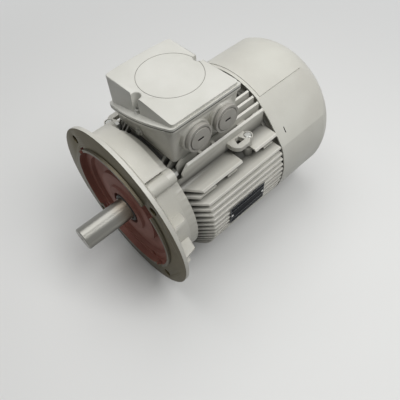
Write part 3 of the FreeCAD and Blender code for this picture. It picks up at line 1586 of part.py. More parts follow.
def make_cover_screws():
    pieces = [
        screw(
            f"cover_screw_{number}",
            "cover_screw_radius",
            "cover_screw_depth",
            "cover_screw_head_radius",
            "cover_screw_head",
            across,
            along,
            COVER_SCREW_SEAT,
            "Z",
            socket=True,
        )
        for number, (across, along) in enumerate(cover_screw_places())
    ]
    group("cover_screws", pieces)
    pieces = [
        screw(
            f"box_screw_{number}",
            "small_screw_radius",
            "small_screw_length",
            "small_screw_head_radius",
            "small_screw_head",
            across,
            along,
            BASE_FLOOR_TOP,
            "Z",
            socket=True,
        )
        for number, (across, along) in enumerate(box_screw_places())
    ]
    group("box_base_screws", pieces)
    earth = screw(
        "earth_screw",
        "small_screw_radius",
        "small_screw_length",
        "small_screw_head_radius",
        "small_screw_head",
        "earth_across",
        EARTH_FACE,
        "earth_height",
        "-Y",
    )
    finished(earth, "box_earth_screw")


# Terminal board inside the box
BOARD_X = "stud_row"
BOARD_BOTTOM = f"({BASE_FLOOR_TOP} + board_lift)"
BOARD_TOP = f"({BASE_FLOOR_TOP} + board_lift + board_thickness)"


def board_screw_places():
    reach = "(board_half_length - small_screw_head_radius - board_edge)"
    return [(BOARD_X, f"box_centre - {reach}"), (BOARD_X, f"box_centre + {reach}")]


def stud_places():
    return [
        (f"{BOARD_X} {side} stud_row", f"box_centre + ({step}) * stud_spacing")
        for step in (-1, 0, 1)
        for side in ("-", "+")
    ]


def make_terminal_board():
    body = new_body("terminal_board")
    corners = rectangle(
        f"{BOARD_X} - board_half_width",
        "box_centre - board_half_length",
        f"{BOARD_X} + board_half_width",
        "box_centre + board_half_length",
    )
    pad(body, outline(plan(body, "board_plate", BOARD_BOTTOM), corners), "board_thickness")
    ribs = plan(body, "board_ribs", BOARD_TOP)
    for side in ("-", "+"):
        middle = f"(box_centre {side} stud_spacing / 2)"
        outline(
            ribs,
            rectangle(
                f"{BOARD_X} - board_half_width + box_wall",
                f"{middle} - link_thickness",
                f"{BOARD_X} + board_half_width - box_wall",
                f"{middle} + link_thickness",
            ),
        )
    pad(body, ribs, "board_thickness")
    spots = stud_places() + board_screw_places()
    holes = circles(plan(body, "stud_holes", BOARD_TOP), spots, "stud_radius + thread_gap")
    pocket(body, holes, "board_thickness")
    finished(body)
    studs = []
    for number, (across, along) in enumerate(stud_places()):
        rod = cylinder(f"stud_rod_{number}", "stud_radius", "stud_length", across, along, BOARD_BOTTOM)
        nut = hexagon(
            f"stud_nut_{number}", "stud_nut_radius", "stud_nut_height", across, along, f"{BOARD_TOP} + link_thickness"
        )
        studs.append(fused(f"stud_{number}", [rod, nut]))
    group("terminal_studs", studs)
    links = []
    for step in (-1, 0, 1):
        along = f"(box_centre + ({step}) * stud_spacing)"
        bar = block(
            f"link_bar_{step + 1}",
            (f"{BOARD_X} - stud_row - stud_nut_radius", f"{along} - stud_nut_radius", BOARD_TOP),
            (f"{BOARD_X} + stud_row + stud_nut_radius", f"{along} + stud_nut_radius", f"{BOARD_TOP} + link_thickness"),
        )
        holes = [
            cylinder(
                f"link_hole_{step + 1}_{end}",
                "stud_radius + thread_gap",
                "link_thickness",
                f"{BOARD_X} {side} stud_row",
                along,
                BOARD_TOP,
            )
            for end, side in enumerate(("-", "+"))
        ]
        links.append(cut(f"link_{step + 1}", bar, fused(f"link_holes_{step + 1}", holes)))
    group("terminal_links", links)
    pieces = [
        screw(
            f"board_screw_{number}",
            "small_screw_radius",
            "board_thickness + board_lift",
            "small_screw_head_radius",
            "small_screw_head",
            across,
            along,
            BOARD_TOP,
            "Z",
            socket=True,
        )
        for number, (across, along) in enumerate(board_screw_places())
    ]
    group("board_screws", pieces)


# Rating plate, left bare
def make_nameplate():
    plate = block(
        "plate_blank",
        ("casing_radius", "plate_front", "-plate_half_height"),
        ("casing_radius + plate_thickness", "plate_front + plate_length", "plate_half_height"),
    )
    holes = [
        cylinder(
            f"plate_hole_{number}", "rivet_radius + thread_gap", "plate_thickness", "casing_radius", along, "0", "X"
        )
        for number, along in enumerate(rivet_places())
    ]
    finished(cut("nameplate", plate, fused("plate_holes", holes)))
    rivets = [
        screw(
            f"rivet_{number}",
            "rivet_radius",
            "rivet_depth",
            "rivet_head_radius",
            "rivet_head",
            "casing_radius + plate_thickness",
            along,
            "0",
            "X",
            socket=True,
        )
        for number, along in enumerate(rivet_places())
    ]
    group("nameplate_rivets", rivets)


def check():
    """Every object has to be sound, every cut has to take material away, and every node has to be solid."""
    doc.recompute()
    for thing in doc.Objects:
        if {"Invalid", "Error"} & set(thing.State):
            raise RuntimeError(f"{thing.Name} failed: {thing.State}")
        if thing.TypeId in ("PartDesign::Pocket", "PartDesign::Groove"):
            before = thing.BaseFeature.Shape.Volume
            if before - thing.Shape.Volume < 0.01:
                raise RuntimeError(f"{thing.Name} cuts nothing")
    for node in nodes:
        if node.Shape.isNull() or not node.Shape.isValid() or not node.Shape.Solids:
            raise RuntimeError(f"{node.Label} has no sound solid")


def main():
    make_shaft()
    make_rotor()
    make_bearing("de", "de_bearing_front")
    make_bearing("nde", "nde_bearing_front")
    make_fan()
    make_seals()
    make_stator()
    make_flange_shield()
    make_housing()
    make_lugs()
    make_nde_shield()
    make_shield_screws()
    make_fan_cover()
    make_box_cover()
    make_cover_gasket()
    make_box_base()
    make_base_gasket()
    make_plugs()
    make_cover_screws()
    make_terminal_board()
    make_nameplate()
    check()
    os.makedirs("parts", exist_ok=True)
    for node in nodes:
        node.Shape.exportStep(f"parts/{node.Label}.step")
        print(node.Label, len(node.Shape.Solids), round(node.Shape.Volume / 1000, 1))


main()
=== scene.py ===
"""A flange-mounted induction motor, dressed over its construction model.

Lengths are metres. The shaft lies along Y with its drive end towards -Y, and the terminal box is at +Z.
The origin is the centre of the flange's mounting face.
"""
import json
import math

import bmesh
import bpy
import numpy as np
from mathutils import Matrix, Vector

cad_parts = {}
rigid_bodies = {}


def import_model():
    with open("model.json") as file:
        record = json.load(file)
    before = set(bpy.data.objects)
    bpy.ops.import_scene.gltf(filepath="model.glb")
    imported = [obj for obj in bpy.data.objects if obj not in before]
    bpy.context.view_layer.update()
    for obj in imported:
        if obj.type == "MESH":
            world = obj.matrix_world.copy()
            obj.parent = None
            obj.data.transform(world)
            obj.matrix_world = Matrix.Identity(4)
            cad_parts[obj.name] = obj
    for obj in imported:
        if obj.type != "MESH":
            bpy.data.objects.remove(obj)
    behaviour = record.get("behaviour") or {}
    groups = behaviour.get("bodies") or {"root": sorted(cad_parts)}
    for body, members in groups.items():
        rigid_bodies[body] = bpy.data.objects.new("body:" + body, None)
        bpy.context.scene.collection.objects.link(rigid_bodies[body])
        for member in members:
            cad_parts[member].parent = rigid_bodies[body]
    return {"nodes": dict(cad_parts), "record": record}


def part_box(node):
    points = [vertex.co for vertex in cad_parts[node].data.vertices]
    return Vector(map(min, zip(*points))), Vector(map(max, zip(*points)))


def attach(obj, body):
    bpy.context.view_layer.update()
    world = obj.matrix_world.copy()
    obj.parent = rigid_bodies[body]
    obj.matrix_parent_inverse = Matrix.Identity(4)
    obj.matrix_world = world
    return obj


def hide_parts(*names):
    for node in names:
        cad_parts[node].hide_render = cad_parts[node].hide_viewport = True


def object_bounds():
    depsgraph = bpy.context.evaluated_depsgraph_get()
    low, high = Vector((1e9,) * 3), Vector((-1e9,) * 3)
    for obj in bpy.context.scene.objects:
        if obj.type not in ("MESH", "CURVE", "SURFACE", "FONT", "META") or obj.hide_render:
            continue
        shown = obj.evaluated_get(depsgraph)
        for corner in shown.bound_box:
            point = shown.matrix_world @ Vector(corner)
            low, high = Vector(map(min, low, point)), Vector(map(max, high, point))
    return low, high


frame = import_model()
cad_low, cad_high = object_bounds()

MM = 0.001
BODY_OF = {node: body for body, nodes in frame["record"]["behaviour"]["bodies"].items() for node in nodes}

# Distances from the shaft axis
SPIGOT_INSIDE, SPIGOT_RADIUS = 109 * MM, 115 * MM
DISH_RADIUS = 111.5 * MM
NOTCHES_INSIDE, NOTCHES_OUTSIDE = 104 * MM, 122 * MM
BOLT_HOLES_INSIDE, BOLT_HOLES_OUTSIDE = 124 * MM, 141 * MM
# Painted shade between the fins fades from their roots to the next radius, and a painted highlight pales their tips
FIN_ROOTS, FIN_SHADE_END = 107 * MM, 125 * MM
FIN_TIPS, FIN_TIPS_BRIGHTEST = 129.4 * MM, 130.4 * MM
LATCH_SLOTS_INSIDE, LATCH_TONGUES_INSIDE = 120 * MM, 124 * MM

# Places along the shaft axis, from the mounting face towards the rear
DISH_REAR = 20 * MM
FINS_FRONT, FINS_REAR = 60.2 * MM, 242 * MM
LATCH_TONGUES_FRONT = 252 * MM
LATCH_SLOTS_FRONT, LATCH_SLOTS_REAR = 257 * MM, 260.6 * MM

# The round disc on the terminal box's cover, outlined by a fine groove
DISC_MIDDLE = (-5 * MM, 128 * MM, 0.0)
DISC_RADIUS = 48 * MM
COVER_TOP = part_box("terminal_box_cover")[1][2]


# Materials
# Pale dust, which also paints the highlight on the fin tips, and the colour of the painted shade between the fins
DUST_AND_TIP_HIGHLIGHT, FIN_GAP_SHADE = "#dedcd4", "#33322d"
# A Mix node's sockets for colours, by number, since other kinds of data use the same names
SHARE, UNDER, OVER, MIXED = 0, 6, 7, 2


def linear(code):
    """An sRGB hex colour as linear red, green, blue and alpha."""
    levels = np.array([int(code[place : place + 2], 16) for place in (1, 3, 5)]) / 255
    curve = np.where(levels <= 0.04045, levels / 12.92, ((levels + 0.055) / 1.055) ** 2.4)
    return (*curve.tolist(), 1.0)


def add(tree, kind, inputs=None, **settings):
    """Adds a node. settings are its own properties, and inputs gives sockets, by name or number, a value or a feed."""
    node = tree.nodes.new(kind)
    for name, value in settings.items():
        setattr(node, name, value)
    for name, value in (inputs or {}).items():
        socket = node.inputs[name]
        if isinstance(value, bpy.types.NodeSocket):
            tree.links.new(value, socket)
        else:
            socket.default_value = value
    return node


def start_finish(name, **sockets):
    """A material with its shader: returns the material, its node tree, the shader and the object coordinates."""
    material = bpy.data.materials.new(name)
    material.use_nodes = True
    tree = material.node_tree
    shader = tree.nodes["Principled BSDF"]
    for socket, value in sockets.items():
        shader.inputs[socket.replace("_", " ")].default_value = value
    place = add(tree, "ShaderNodeTexCoord").outputs["Object"]
    return material, tree, shader, place


def feed(tree, shader, **sockets):
    """Links an output to each of the shader's sockets named."""
    for socket, output in sockets.items():
        tree.links.new(output, shader.inputs[socket.replace("_", " ")])


def per_metre(size):
    """The scale that gives a noise texture cells of a real size."""
    return 1.0 / size


def per_wave(size):
    """The scale that gives a wave texture waves of a real size: unscaled, one wave is 2 pi / 20 long."""
    return math.tau / 20 / size


def grain(tree, shader, place, size, strength, relief, detail=2.0):
    """Gives the shader's surface a grain with cells of a real size, raised by relief."""
    cells = add(tree, "ShaderNodeTexNoise", {"Vector": place, "Scale": per_metre(size), "Detail": detail})
    bump = add(tree, "ShaderNodeBump", {"Height": cells.outputs[0], "Strength": strength, "Distance": relief})
    feed(tree, shader, Normal=bump.outputs[0])


def about_shaft(tree, place):
    """The distance from the shaft axis and the place along it."""
    apart = add(tree, "ShaderNodeSeparateXYZ", {0: place})
    flat = add(tree, "ShaderNodeCombineXYZ", {0: apart.outputs[0], 2: apart.outputs[2]})
    radius = add(tree, "ShaderNodeVectorMath", {0: flat.outputs[0]}, operation="LENGTH")
    return radius.outputs["Value"], apart.outputs[1]


def fin_painted_shade_and_highlight(tree, place, colour):
    """Painted shade between the cooling fins, darkest at their roots and thinning out towards their tips, and a
    painted highlight that makes the tips paler.
    """
    radius, along = about_shaft(tree, place)
    # Painted shade: darker towards the fin roots, and only between the front and rear of the fins
    depth = add(
        tree,
        "ShaderNodeMapRange",
        {"Value": radius, "From Min": FIN_ROOTS, "From Max": FIN_SHADE_END, "To Min": 0.95, "To Max": 0.0},
    )
    behind = add(tree, "ShaderNodeMath", {0: along, 1: FINS_FRONT}, operation="GREATER_THAN")
    ahead = add(tree, "ShaderNodeMath", {0: along, 1: FINS_REAR}, operation="LESS_THAN")
    between = add(tree, "ShaderNodeMath", {0: behind.outputs[0], 1: ahead.outputs[0]}, operation="MULTIPLY")
    gap_shade = add(tree, "ShaderNodeMath", {0: depth.outputs[0], 1: between.outputs[0]}, operation="MULTIPLY")
    gap_shaded = add(
        tree,
        "ShaderNodeMix",
        {SHARE: gap_shade.outputs[0], UNDER: colour, OVER: linear(FIN_GAP_SHADE)},
        data_type="RGBA",
    )
    # Painted highlight: paler at the fin tips
    tip_highlight = add(
        tree,
        "ShaderNodeMapRange",
        {"Value": radius, "From Min": FIN_TIPS, "From Max": FIN_TIPS_BRIGHTEST, "To Max": 0.6},
    )
    wear_and_highlight = add(
        tree,
        "ShaderNodeMix",
        {SHARE: tip_highlight.outputs[0], UNDER: gap_shaded.outputs[MIXED], OVER: linear(DUST_AND_TIP_HIGHLIGHT)},
        data_type="RGBA",
    )
    return wear_and_highlight.outputs[MIXED]


def disc_groove_shade(tree, place, colour):
    """Painted shade in the fine groove round the disc on the box cover, 0.1 mm and more below the cover's top."""
    apart = add(tree, "ShaderNodeSeparateXYZ", {0: place})
    flat = add(tree, "ShaderNodeCombineXYZ", {0: apart.outputs[0], 1: apart.outputs[1]})
    reach = add(tree, "ShaderNodeVectorMath", {0: flat.outputs[0], 1: DISC_MIDDLE}, operation="DISTANCE")
    near = add(
        tree,
        "ShaderNodeMath",
        {0: reach.outputs["Value"], 1: DISC_RADIUS, 2: 0.8 * MM},
        operation="COMPARE",
    )
    sunk = add(tree, "ShaderNodeMath", {0: apart.outputs[2], 1: COVER_TOP - 0.1 * MM}, operation="LESS_THAN")
    shade_mask = add(tree, "ShaderNodeMath", {0: near.outputs[0], 1: sunk.outputs[0]}, operation="MULTIPLY")
    # Painted shade darkens the groove
    groove_shaded = add(
        tree,
        "ShaderNodeMix",
        {SHARE: shade_mask.outputs[0], UNDER: colour, OVER: linear("#7f7b72")},
        data_type="RGBA",
    )
    return groove_shaded.outputs[MIXED]


def stone_grey_enamel(name, light, shaded, pebble=1.6 * MM, relief=0.05 * MM, gloss=0.38, painted_light=None):
    """Two-pack enamel sprayed over cast aluminium: satin, with the casting's pebble softened under it, a slow
    drift of tone from panel to panel and a little pale dust. wear adds painted shade or highlights over that colour."""
    material, tree, shader, place = start_finish(name)
    drift = add(tree, "ShaderNodeTexNoise", {"Vector": place, "Scale": per_metre(70 * MM), "Detail": 3.0})
    spread = add(tree, "ShaderNodeMapRange", {"Value": drift.outputs[0], "From Min": 0.35, "From Max": 0.65})
    tone = add(
        tree,
        "ShaderNodeMix",
        {SHARE: spread.outputs[0], UNDER: linear(shaded), OVER: linear(light)},
        data_type="RGBA",
    )
    dust = add(tree, "ShaderNodeTexNoise", {"Vector": place, "Scale": per_metre(2.4 * MM), "Detail": 4.0})
    settled = add(
        tree,
        "ShaderNodeMapRange",
        {"Value": dust.outputs[0], "From Min": 0.62, "From Max": 0.78, "To Max": 0.35},
    )
    dusty = add(
        tree,
        "ShaderNodeMix",
        {SHARE: settled.outputs[0], UNDER: tone.outputs[MIXED], OVER: linear(DUST_AND_TIP_HIGHLIGHT)},
        data_type="RGBA",
    )
    colour = dusty.outputs[MIXED]
    # Painted shade and painted highlights, laid over the enamel's colour by place
    if painted_light:
        colour = painted_light(tree, place, colour)
    sheen = add(
        tree,
        "ShaderNodeMapRange",
        {"Value": dust.outputs[0], "From Min": 0.3, "From Max": 0.7, "To Min": gloss - 0.08, "To Max": gloss + 0.1},
    )
    feed(tree, shader, Base_Color=colour, Roughness=sheen.outputs[0])
    grain(tree, shader, place, pebble, 0.35, relief)
    return material


def turned_metal(name, pale, dark, film, film_share, cut, rough):
    """Bare metal faced or turned on a lathe: fine rings about the shaft axis, whose highlight spreads across them,
    under a thin film of rust-preventive that browns it unevenly. cut is the width of a ring, drawn coarser than
    the real feed marks so that they show."""
    material, tree, shader, place = start_finish(name, Metallic=1.0, Anisotropic=0.5)
    radius, along = about_shaft(tree, place)
    path = add(tree, "ShaderNodeMath", {0: radius, 1: along}, operation="ADD")
    lines = add(
        tree,
        "ShaderNodeTexNoise",
        {"W": path.outputs[0], "Scale": per_metre(cut), "Detail": 3.0},
        noise_dimensions="1D",
    )
    rings = add(
        tree,
        "ShaderNodeMapRange",
        {"Value": lines.outputs[0], "From Min": 0.35, "From Max": 0.65, "To Min": 0.2, "To Max": 0.8},
    )
    bright = add(
        tree,
        "ShaderNodeMix",
        {SHARE: rings.outputs[0], UNDER: linear(dark), OVER: linear(pale)},
        data_type="RGBA",
    )
    stain = add(tree, "ShaderNodeTexNoise", {"Vector": place, "Scale": per_metre(38 * MM), "Detail": 4.0})
    thinnest, thickest = film_share - 0.25, film_share + 0.15
    coated = add(
        tree,
        "ShaderNodeMapRange",
        {"Value": stain.outputs[0], "From Min": 0.35, "From Max": 0.7, "To Min": thinnest, "To Max": thickest},
    )
    filmed = add(
        tree,
        "ShaderNodeMix",
        {SHARE: coated.outputs[0], UNDER: bright.outputs[MIXED], OVER: linear(film)},
        data_type="RGBA",
    )
    wear_and_highlight = add(
        tree,
        "ShaderNodeMapRange",
        {"Value": lines.outputs[0], "From Min": 0.3, "From Max": 0.7, "To Min": rough, "To Max": rough + 0.1},
    )
    spun = add(tree, "ShaderNodeTangent", direction_type="RADIAL", axis="Y")
    bump = add(tree, "ShaderNodeBump", {"Height": rings.outputs[0], "Strength": 0.3, "Distance": 0.01 * MM})
    feed(
        tree,
        shader,
        Base_Color=filmed.outputs[MIXED],
        Roughness=wear_and_highlight.outputs[0],
        Tangent=spun.outputs[0],
        Normal=bump.outputs[0],
    )
    return material


def ground_shaft():
    """Ground bar, clean and bright at its end, with faint lengthwise streaks, and browned towards the seal where
    the rust-preventive and the running of the lip have stained it."""
    material, tree, shader, place = start_finish("ground_shaft", Metallic=1.0)
    # Squeezed along the shaft, the noise is drawn out into streaks
    drawn = add(tree, "ShaderNodeMapping", {"Vector": place, "Scale": (1.0, 0.06, 1.0)})
    streaks = add(
        tree,
        "ShaderNodeTexNoise",
        {"Vector": drawn.outputs[0], "Scale": per_metre(6 * MM), "Detail": 1.0},
    )
    steel = add(
        tree,
        "ShaderNodeMix",
        {SHARE: streaks.outputs[0], UNDER: linear("#75746e"), OVER: linear("#93928d")},
        data_type="RGBA",
    )
    along = add(tree, "ShaderNodeSeparateXYZ", {0: place}).outputs[1]
    stained = add(
        tree,
        "ShaderNodeMapRange",
        {"Value": along, "From Min": -30 * MM, "From Max": 2 * MM, "To Max": 0.5},
        interpolation_type="SMOOTHSTEP",
    )
    tone = add(
        tree,
        "ShaderNodeMix",
        {SHARE: stained.outputs[0], UNDER: steel.outputs[MIXED], OVER: linear("#6a553a")},
        data_type="RGBA",
    )
    gloss = add(tree, "ShaderNodeMapRange", {"Value": streaks.outputs[0], "To Min": 0.29, "To Max": 0.31})
    feed(tree, shader, Base_Color=tone.outputs[MIXED], Roughness=gloss.outputs[0])
    return material


def red_oxide_primer():
    """Red oxide primer brushed on the cast dish behind the spigot: matt, with faint brush streaks round the shaft
    and thin spots that let the casting's dark show."""
    material, tree, shader, place = start_finish("red_oxide_primer", Roughness=0.62)
    streaks = add(
        tree,
        "ShaderNodeTexWave",
        {"Vector": place, "Scale": per_wave(34.9 * MM), "Distortion": 5.0, "Detail": 3.0, "Detail Scale": 1.4},
        wave_type="RINGS",
        rings_direction="Y",
    )
    patches = add(tree, "ShaderNodeTexNoise", {"Vector": place, "Scale": per_metre(24 * MM), "Detail": 5.0})
    blend = add(tree, "ShaderNodeMath", {0: streaks.outputs["Fac"], 1: patches.outputs[0]}, operation="MULTIPLY")
    tone = add(
        tree,
        "ShaderNodeMix",
        {SHARE: blend.outputs[0], UNDER: linear("#784638"), OVER: linear("#9c6b60")},
        data_type="RGBA",
    )
    feed(tree, shader, Base_Color=tone.outputs[MIXED])
    grain(tree, shader, place, 1.8 * MM, 0.4, 0.08 * MM, detail=3.0)
    return material


def plain_metal(name, pale, dark, rough, patch=9 * MM):
    """Plated, rolled or bright metal: a metal with patches of a second tone and slightly uneven gloss."""
    material, tree, shader, place = start_finish(name, Metallic=1.0)
    patches = add(tree, "ShaderNodeTexNoise", {"Vector": place, "Scale": per_metre(patch), "Detail": 4.0})
    tone = add(
        tree,
        "ShaderNodeMix",
        {SHARE: patches.outputs[0], UNDER: linear(dark), OVER: linear(pale)},
        data_type="RGBA",
    )
    gloss = add(tree, "ShaderNodeMapRange", {"Value": patches.outputs[0], "To Min": rough, "To Max": rough + 0.16})
    feed(tree, shader, Base_Color=tone.outputs[MIXED], Roughness=gloss.outputs[0])
    return material


def moulded(name, pale, dark, rough):
    """Moulded plastic or rubber: an even colour with a slow drift and the mould's fine spark texture."""
    material, tree, shader, place = start_finish(name)
    drift = add(tree, "ShaderNodeTexNoise", {"Vector": place, "Scale": per_metre(30 * MM), "Detail": 3.0})
    tone = add(
        tree,
        "ShaderNodeMix",
        {SHARE: drift.outputs[0], UNDER: linear(dark), OVER: linear(pale)},
        data_type="RGBA",
    )
    gloss = add(
        tree,
        "ShaderNodeMapRange",
        {"Value": drift.outputs[0], "To Min": rough - 0.05, "To Max": rough + 0.05},
    )
    feed(tree, shader, Base_Color=tone.outputs[MIXED], Roughness=gloss.outputs[0])
    grain(tree, shader, place, 0.9 * MM, 0.3, 0.03 * MM)
    return material


def plug_moulding():
    """Moulded grey polyamide, with painted shade, nearly black, in the driver slot in the middle of each plug."""
    material, tree, shader, place = start_finish("plug_moulding", Roughness=0.5)
    low, high = np.array(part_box("blanking_plugs"))
    middle, radius = (low + high) / 2, (high[2] - low[2]) / 2
    # The two plugs lie side by side along the shaft, so folding the place over their middle finds both at once
    half_pitch = float((high[1] - low[1]) / 2 - radius)
    apart = add(tree, "ShaderNodeSeparateXYZ", {0: place})
    side = add(tree, "ShaderNodeMath", {0: apart.outputs[1], 1: float(middle[1])}, operation="SUBTRACT")
    folded = add(tree, "ShaderNodeMath", {0: side.outputs[0]}, operation="ABSOLUTE")
    across = add(tree, "ShaderNodeMath", {0: folded.outputs[0], 1: half_pitch}, operation="SUBTRACT")
    rise = add(tree, "ShaderNodeMath", {0: apart.outputs[2], 1: float(middle[2])}, operation="SUBTRACT")
    flat = add(tree, "ShaderNodeCombineXYZ", {0: across.outputs[0], 1: rise.outputs[0]})
    reach = add(tree, "ShaderNodeVectorMath", {0: flat.outputs[0]}, operation="LENGTH")
    near = add(tree, "ShaderNodeMath", {0: reach.outputs["Value"], 1: 6.5 * MM}, operation="LESS_THAN")
    deep = add(tree, "ShaderNodeMath", {0: apart.outputs[0], 1: float(high[0] - 0.5 * MM)}, operation="LESS_THAN")
    shade_mask = add(tree, "ShaderNodeMath", {0: near.outputs[0], 1: deep.outputs[0]}, operation="MULTIPLY")
    drift = add(tree, "ShaderNodeTexNoise", {"Vector": place, "Scale": per_metre(12 * MM), "Detail": 4.0})
    grey = add(
        tree,
        "ShaderNodeMix",
        {SHARE: drift.outputs[0], UNDER: linear("#96938b"), OVER: linear("#a8a59e")},
        data_type="RGBA",
    )
    # Painted shade, nearly black, in the driver slots
    tone = add(
        tree,
        "ShaderNodeMix",
        {SHARE: shade_mask.outputs[0], UNDER: grey.outputs[MIXED], OVER: linear("#1c1b19")},
        data_type="RGBA",
    )
    feed(tree, shader, Base_Color=tone.outputs[MIXED])
    grain(tree, shader, place, 1.4 * MM, 0.3, 0.05 * MM)
    return material


def layered(name, pale, dark, pitch, metallic, rough):
    """Stacked sheet or wound wire: even bands along the shaft axis, drawn coarser than the real layers so that
    they show at all."""
    material, tree, shader, place = start_finish(name, Metallic=metallic, Roughness=rough)
    bands = add(
        tree,
        "ShaderNodeTexWave",
        {"Vector": place, "Scale": per_wave(pitch), "Distortion": 0.6, "Detail": 1.0},
        wave_type="BANDS",
        bands_direction="Y",
    )
    tone = add(
        tree,
        "ShaderNodeMix",
        {SHARE: bands.outputs["Fac"], UNDER: linear(dark), OVER: linear(pale)},
        data_type="RGBA",
    )
    bump = add(tree, "ShaderNodeBump", {"Height": bands.outputs["Fac"], "Strength": 0.5, "Distance": pitch / 4})
    feed(tree, shader, Base_Color=tone.outputs[MIXED], Normal=bump.outputs[0])
    return material


def ruled_plate():
    """Black anodised aluminium with its fields left bare: a border and two rules cut through to the bright metal.
    The lines are drawn wider than the real ones so that they show."""
    material, tree, shader, place = start_finish(
        "black_anodised_plate", IOR=1.3, Roughness=0.45, Specular_IOR_Level=0.1
    )
    low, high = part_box("nameplate")
    apart = add(tree, "ShaderNodeSeparateXYZ", {0: place})
    border_inset, border_half_width = 0.9 * MM, 0.35 * MM
    rule_inset, rule_half_width = 9 * MM, 0.3 * MM
    # How far each place lies past the border line along the plate and up it; the plate faces +X
    past = []
    for axis in (1, 2):
        middle, half = (low[axis] + high[axis]) / 2, (high[axis] - low[axis]) / 2 - border_inset
        offset = add(tree, "ShaderNodeMath", {0: apart.outputs[axis], 1: middle}, operation="SUBTRACT")
        length = add(tree, "ShaderNodeMath", {0: offset.outputs[0]}, operation="ABSOLUTE")
        past.append(add(tree, "ShaderNodeMath", {0: length.outputs[0], 1: half}, operation="SUBTRACT").outputs[0])
    edge = add(tree, "ShaderNodeMath", {0: past[0], 1: past[1]}, operation="MAXIMUM").outputs[0]
    border = add(tree, "ShaderNodeMath", {0: edge, 1: 0.0, 2: border_half_width}, operation="COMPARE").outputs[0]
    inside = add(tree, "ShaderNodeMath", {0: edge, 1: 0.0}, operation="LESS_THAN").outputs[0]
    height = add(tree, "ShaderNodeMath", {0: past[1]}, operation="ABSOLUTE").outputs[0]
    line = add(tree, "ShaderNodeMath", {0: height, 1: rule_inset, 2: rule_half_width}, operation="COMPARE")
    rule = add(tree, "ShaderNodeMath", {0: line.outputs[0], 1: inside}, operation="MULTIPLY")
    cut = add(tree, "ShaderNodeMath", {0: border, 1: rule.outputs[0]}, operation="MAXIMUM")
    wear_and_highlight = add(tree, "ShaderNodeTexNoise", {"Vector": place, "Scale": per_metre(5 * MM), "Detail": 3.0})
    black = add(
        tree,
        "ShaderNodeMix",
        {SHARE: wear_and_highlight.outputs[0], UNDER: linear("#0d0f13"), OVER: linear("#191c22")},
        data_type="RGBA",
    )
    tone = add(
        tree,
        "ShaderNodeMix",
        {SHARE: cut.outputs[0], UNDER: black.outputs[MIXED], OVER: linear("#a9abad")},
        data_type="RGBA",
    )
    feed(tree, shader, Base_Color=tone.outputs[MIXED])
    return material


# The frame's enamel carries painted shade between its fins and a painted highlight on their tips
FIN_ENAMEL = stone_grey_enamel("finned_frame_enamel", "#c6c4bb", "#bab8af", painted_light=fin_painted_shade_and_highlight)
# The cover's enamel carries painted shade in the groove round its disc
COVER_ENAMEL = stone_grey_enamel(
    "box_cover_enamel",
    "#cfcec7",
    "#c6c5bd",
    pebble=1.2 * MM,
    relief=0.03 * MM,
    gloss=0.36,
    painted_light=disc_groove_shade,
)
# The faced flange's dark olive is partly its rust-preventive film and partly a painted reflection of dark surroundings
FACE_METAL = turned_metal(
    "faced_flange", "#6d664f", "#524c38", film="#463f2c", film_share=0.6, cut=1.5 * MM, rough=0.36
)
SPIGOT_METAL = turned_metal(
    "turned_spigot", "#6c675a", "#524e42", film="#504a3d", film_share=0.4, cut=1.2 * MM, rough=0.32
)
# A pale metal that paints a highlight on the spigot's mouth
SPIGOT_HIGHLIGHT_METAL = plain_metal("spigot_mouth_painted_highlight", "#b4ac96", "#8d8670", 0.3)
PRIMER = red_oxide_primer()
PLUG_FINISH = plug_moulding()
FINISHES = {
    "painted_casting": stone_grey_enamel("stone_grey_enamel", "#c6c4bb", "#bab8af"),
    "hood_plastic": stone_grey_enamel("hood_moulding", "#cbcac1", "#c2c0b7", pebble=1.0 * MM, relief=0.02 * MM),
    "turned_steel": ground_shaft(),
    "bearing_steel": plain_metal("ground_bearing_steel", "#d8d8da", "#b9babd", 0.12),
    "zinc_steel": plain_metal("zinc_plated_steel", "#c4c4c0", "#8b8b86", 0.3, patch=3 * MM),
    "spring_steel": plain_metal("blued_spring_steel", "#6a6a70", "#3c3c42", 0.32),
    "core_sheet": layered("stacked_core_sheet", "#8c8c8e", "#57585b", pitch=2 * MM, metallic=0.8, rough=0.45),
    "cast_aluminium": plain_metal("as_cast_aluminium", "#d0d0ce", "#a4a4a2", 0.42),
    "winding": layered(
        "varnished_copper_winding", "#b56a38", "#7c3d1c", pitch=2.5 * MM, metallic=0.4, rough=0.35
    ),
    "seal_rubber": moulded("dark_seal_rubber", "#33322f", "#22211f", 0.6),
    "fan_plastic": moulded("black_fan_moulding", "#3a3a3b", "#2a2a2b", 0.5),
    "board_plastic": moulded("brown_board_moulding", "#6a3a28", "#512a1c", 0.45),
    "terminal_brass": plain_metal("bright_terminal_brass", "#e8c878", "#c9a352", 0.25),
    "plate_black": ruled_plate(),
    "rivet_aluminium": plain_metal("bright_rivet_aluminium", "#e2e2e0", "#bcbcba", 0.3),
}


# Pieces made from the frame's own shapes
CREASE = math.radians(32)
HOOD_CREASE = math.radians(9)
SCREW_CREASE = math.radians(25)
# Corners nearer than this are one, and faces no larger than a sliver keep their edges sharp
SAME_PLACE = 0.002 * MM
SLIVER = 8 * MM**2


def slot_of(node):
    """The record's material slot of a node."""
    return frame["nodes"][node].material_slots[0].material.name.split(".")[0]


def put(node, mesh, crease):
    """Puts a finished mesh in a node's place, smooth across every edge that bends less than crease."""
    mesh.shade_smooth()
    mesh.set_sharp_from_angle(angle=crease)
    piece = bpy.data.objects.new(f"dressed_{node}", mesh)
    bpy.context.scene.collection.objects.link(piece)
    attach(piece, BODY_OF[node])
    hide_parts(node)


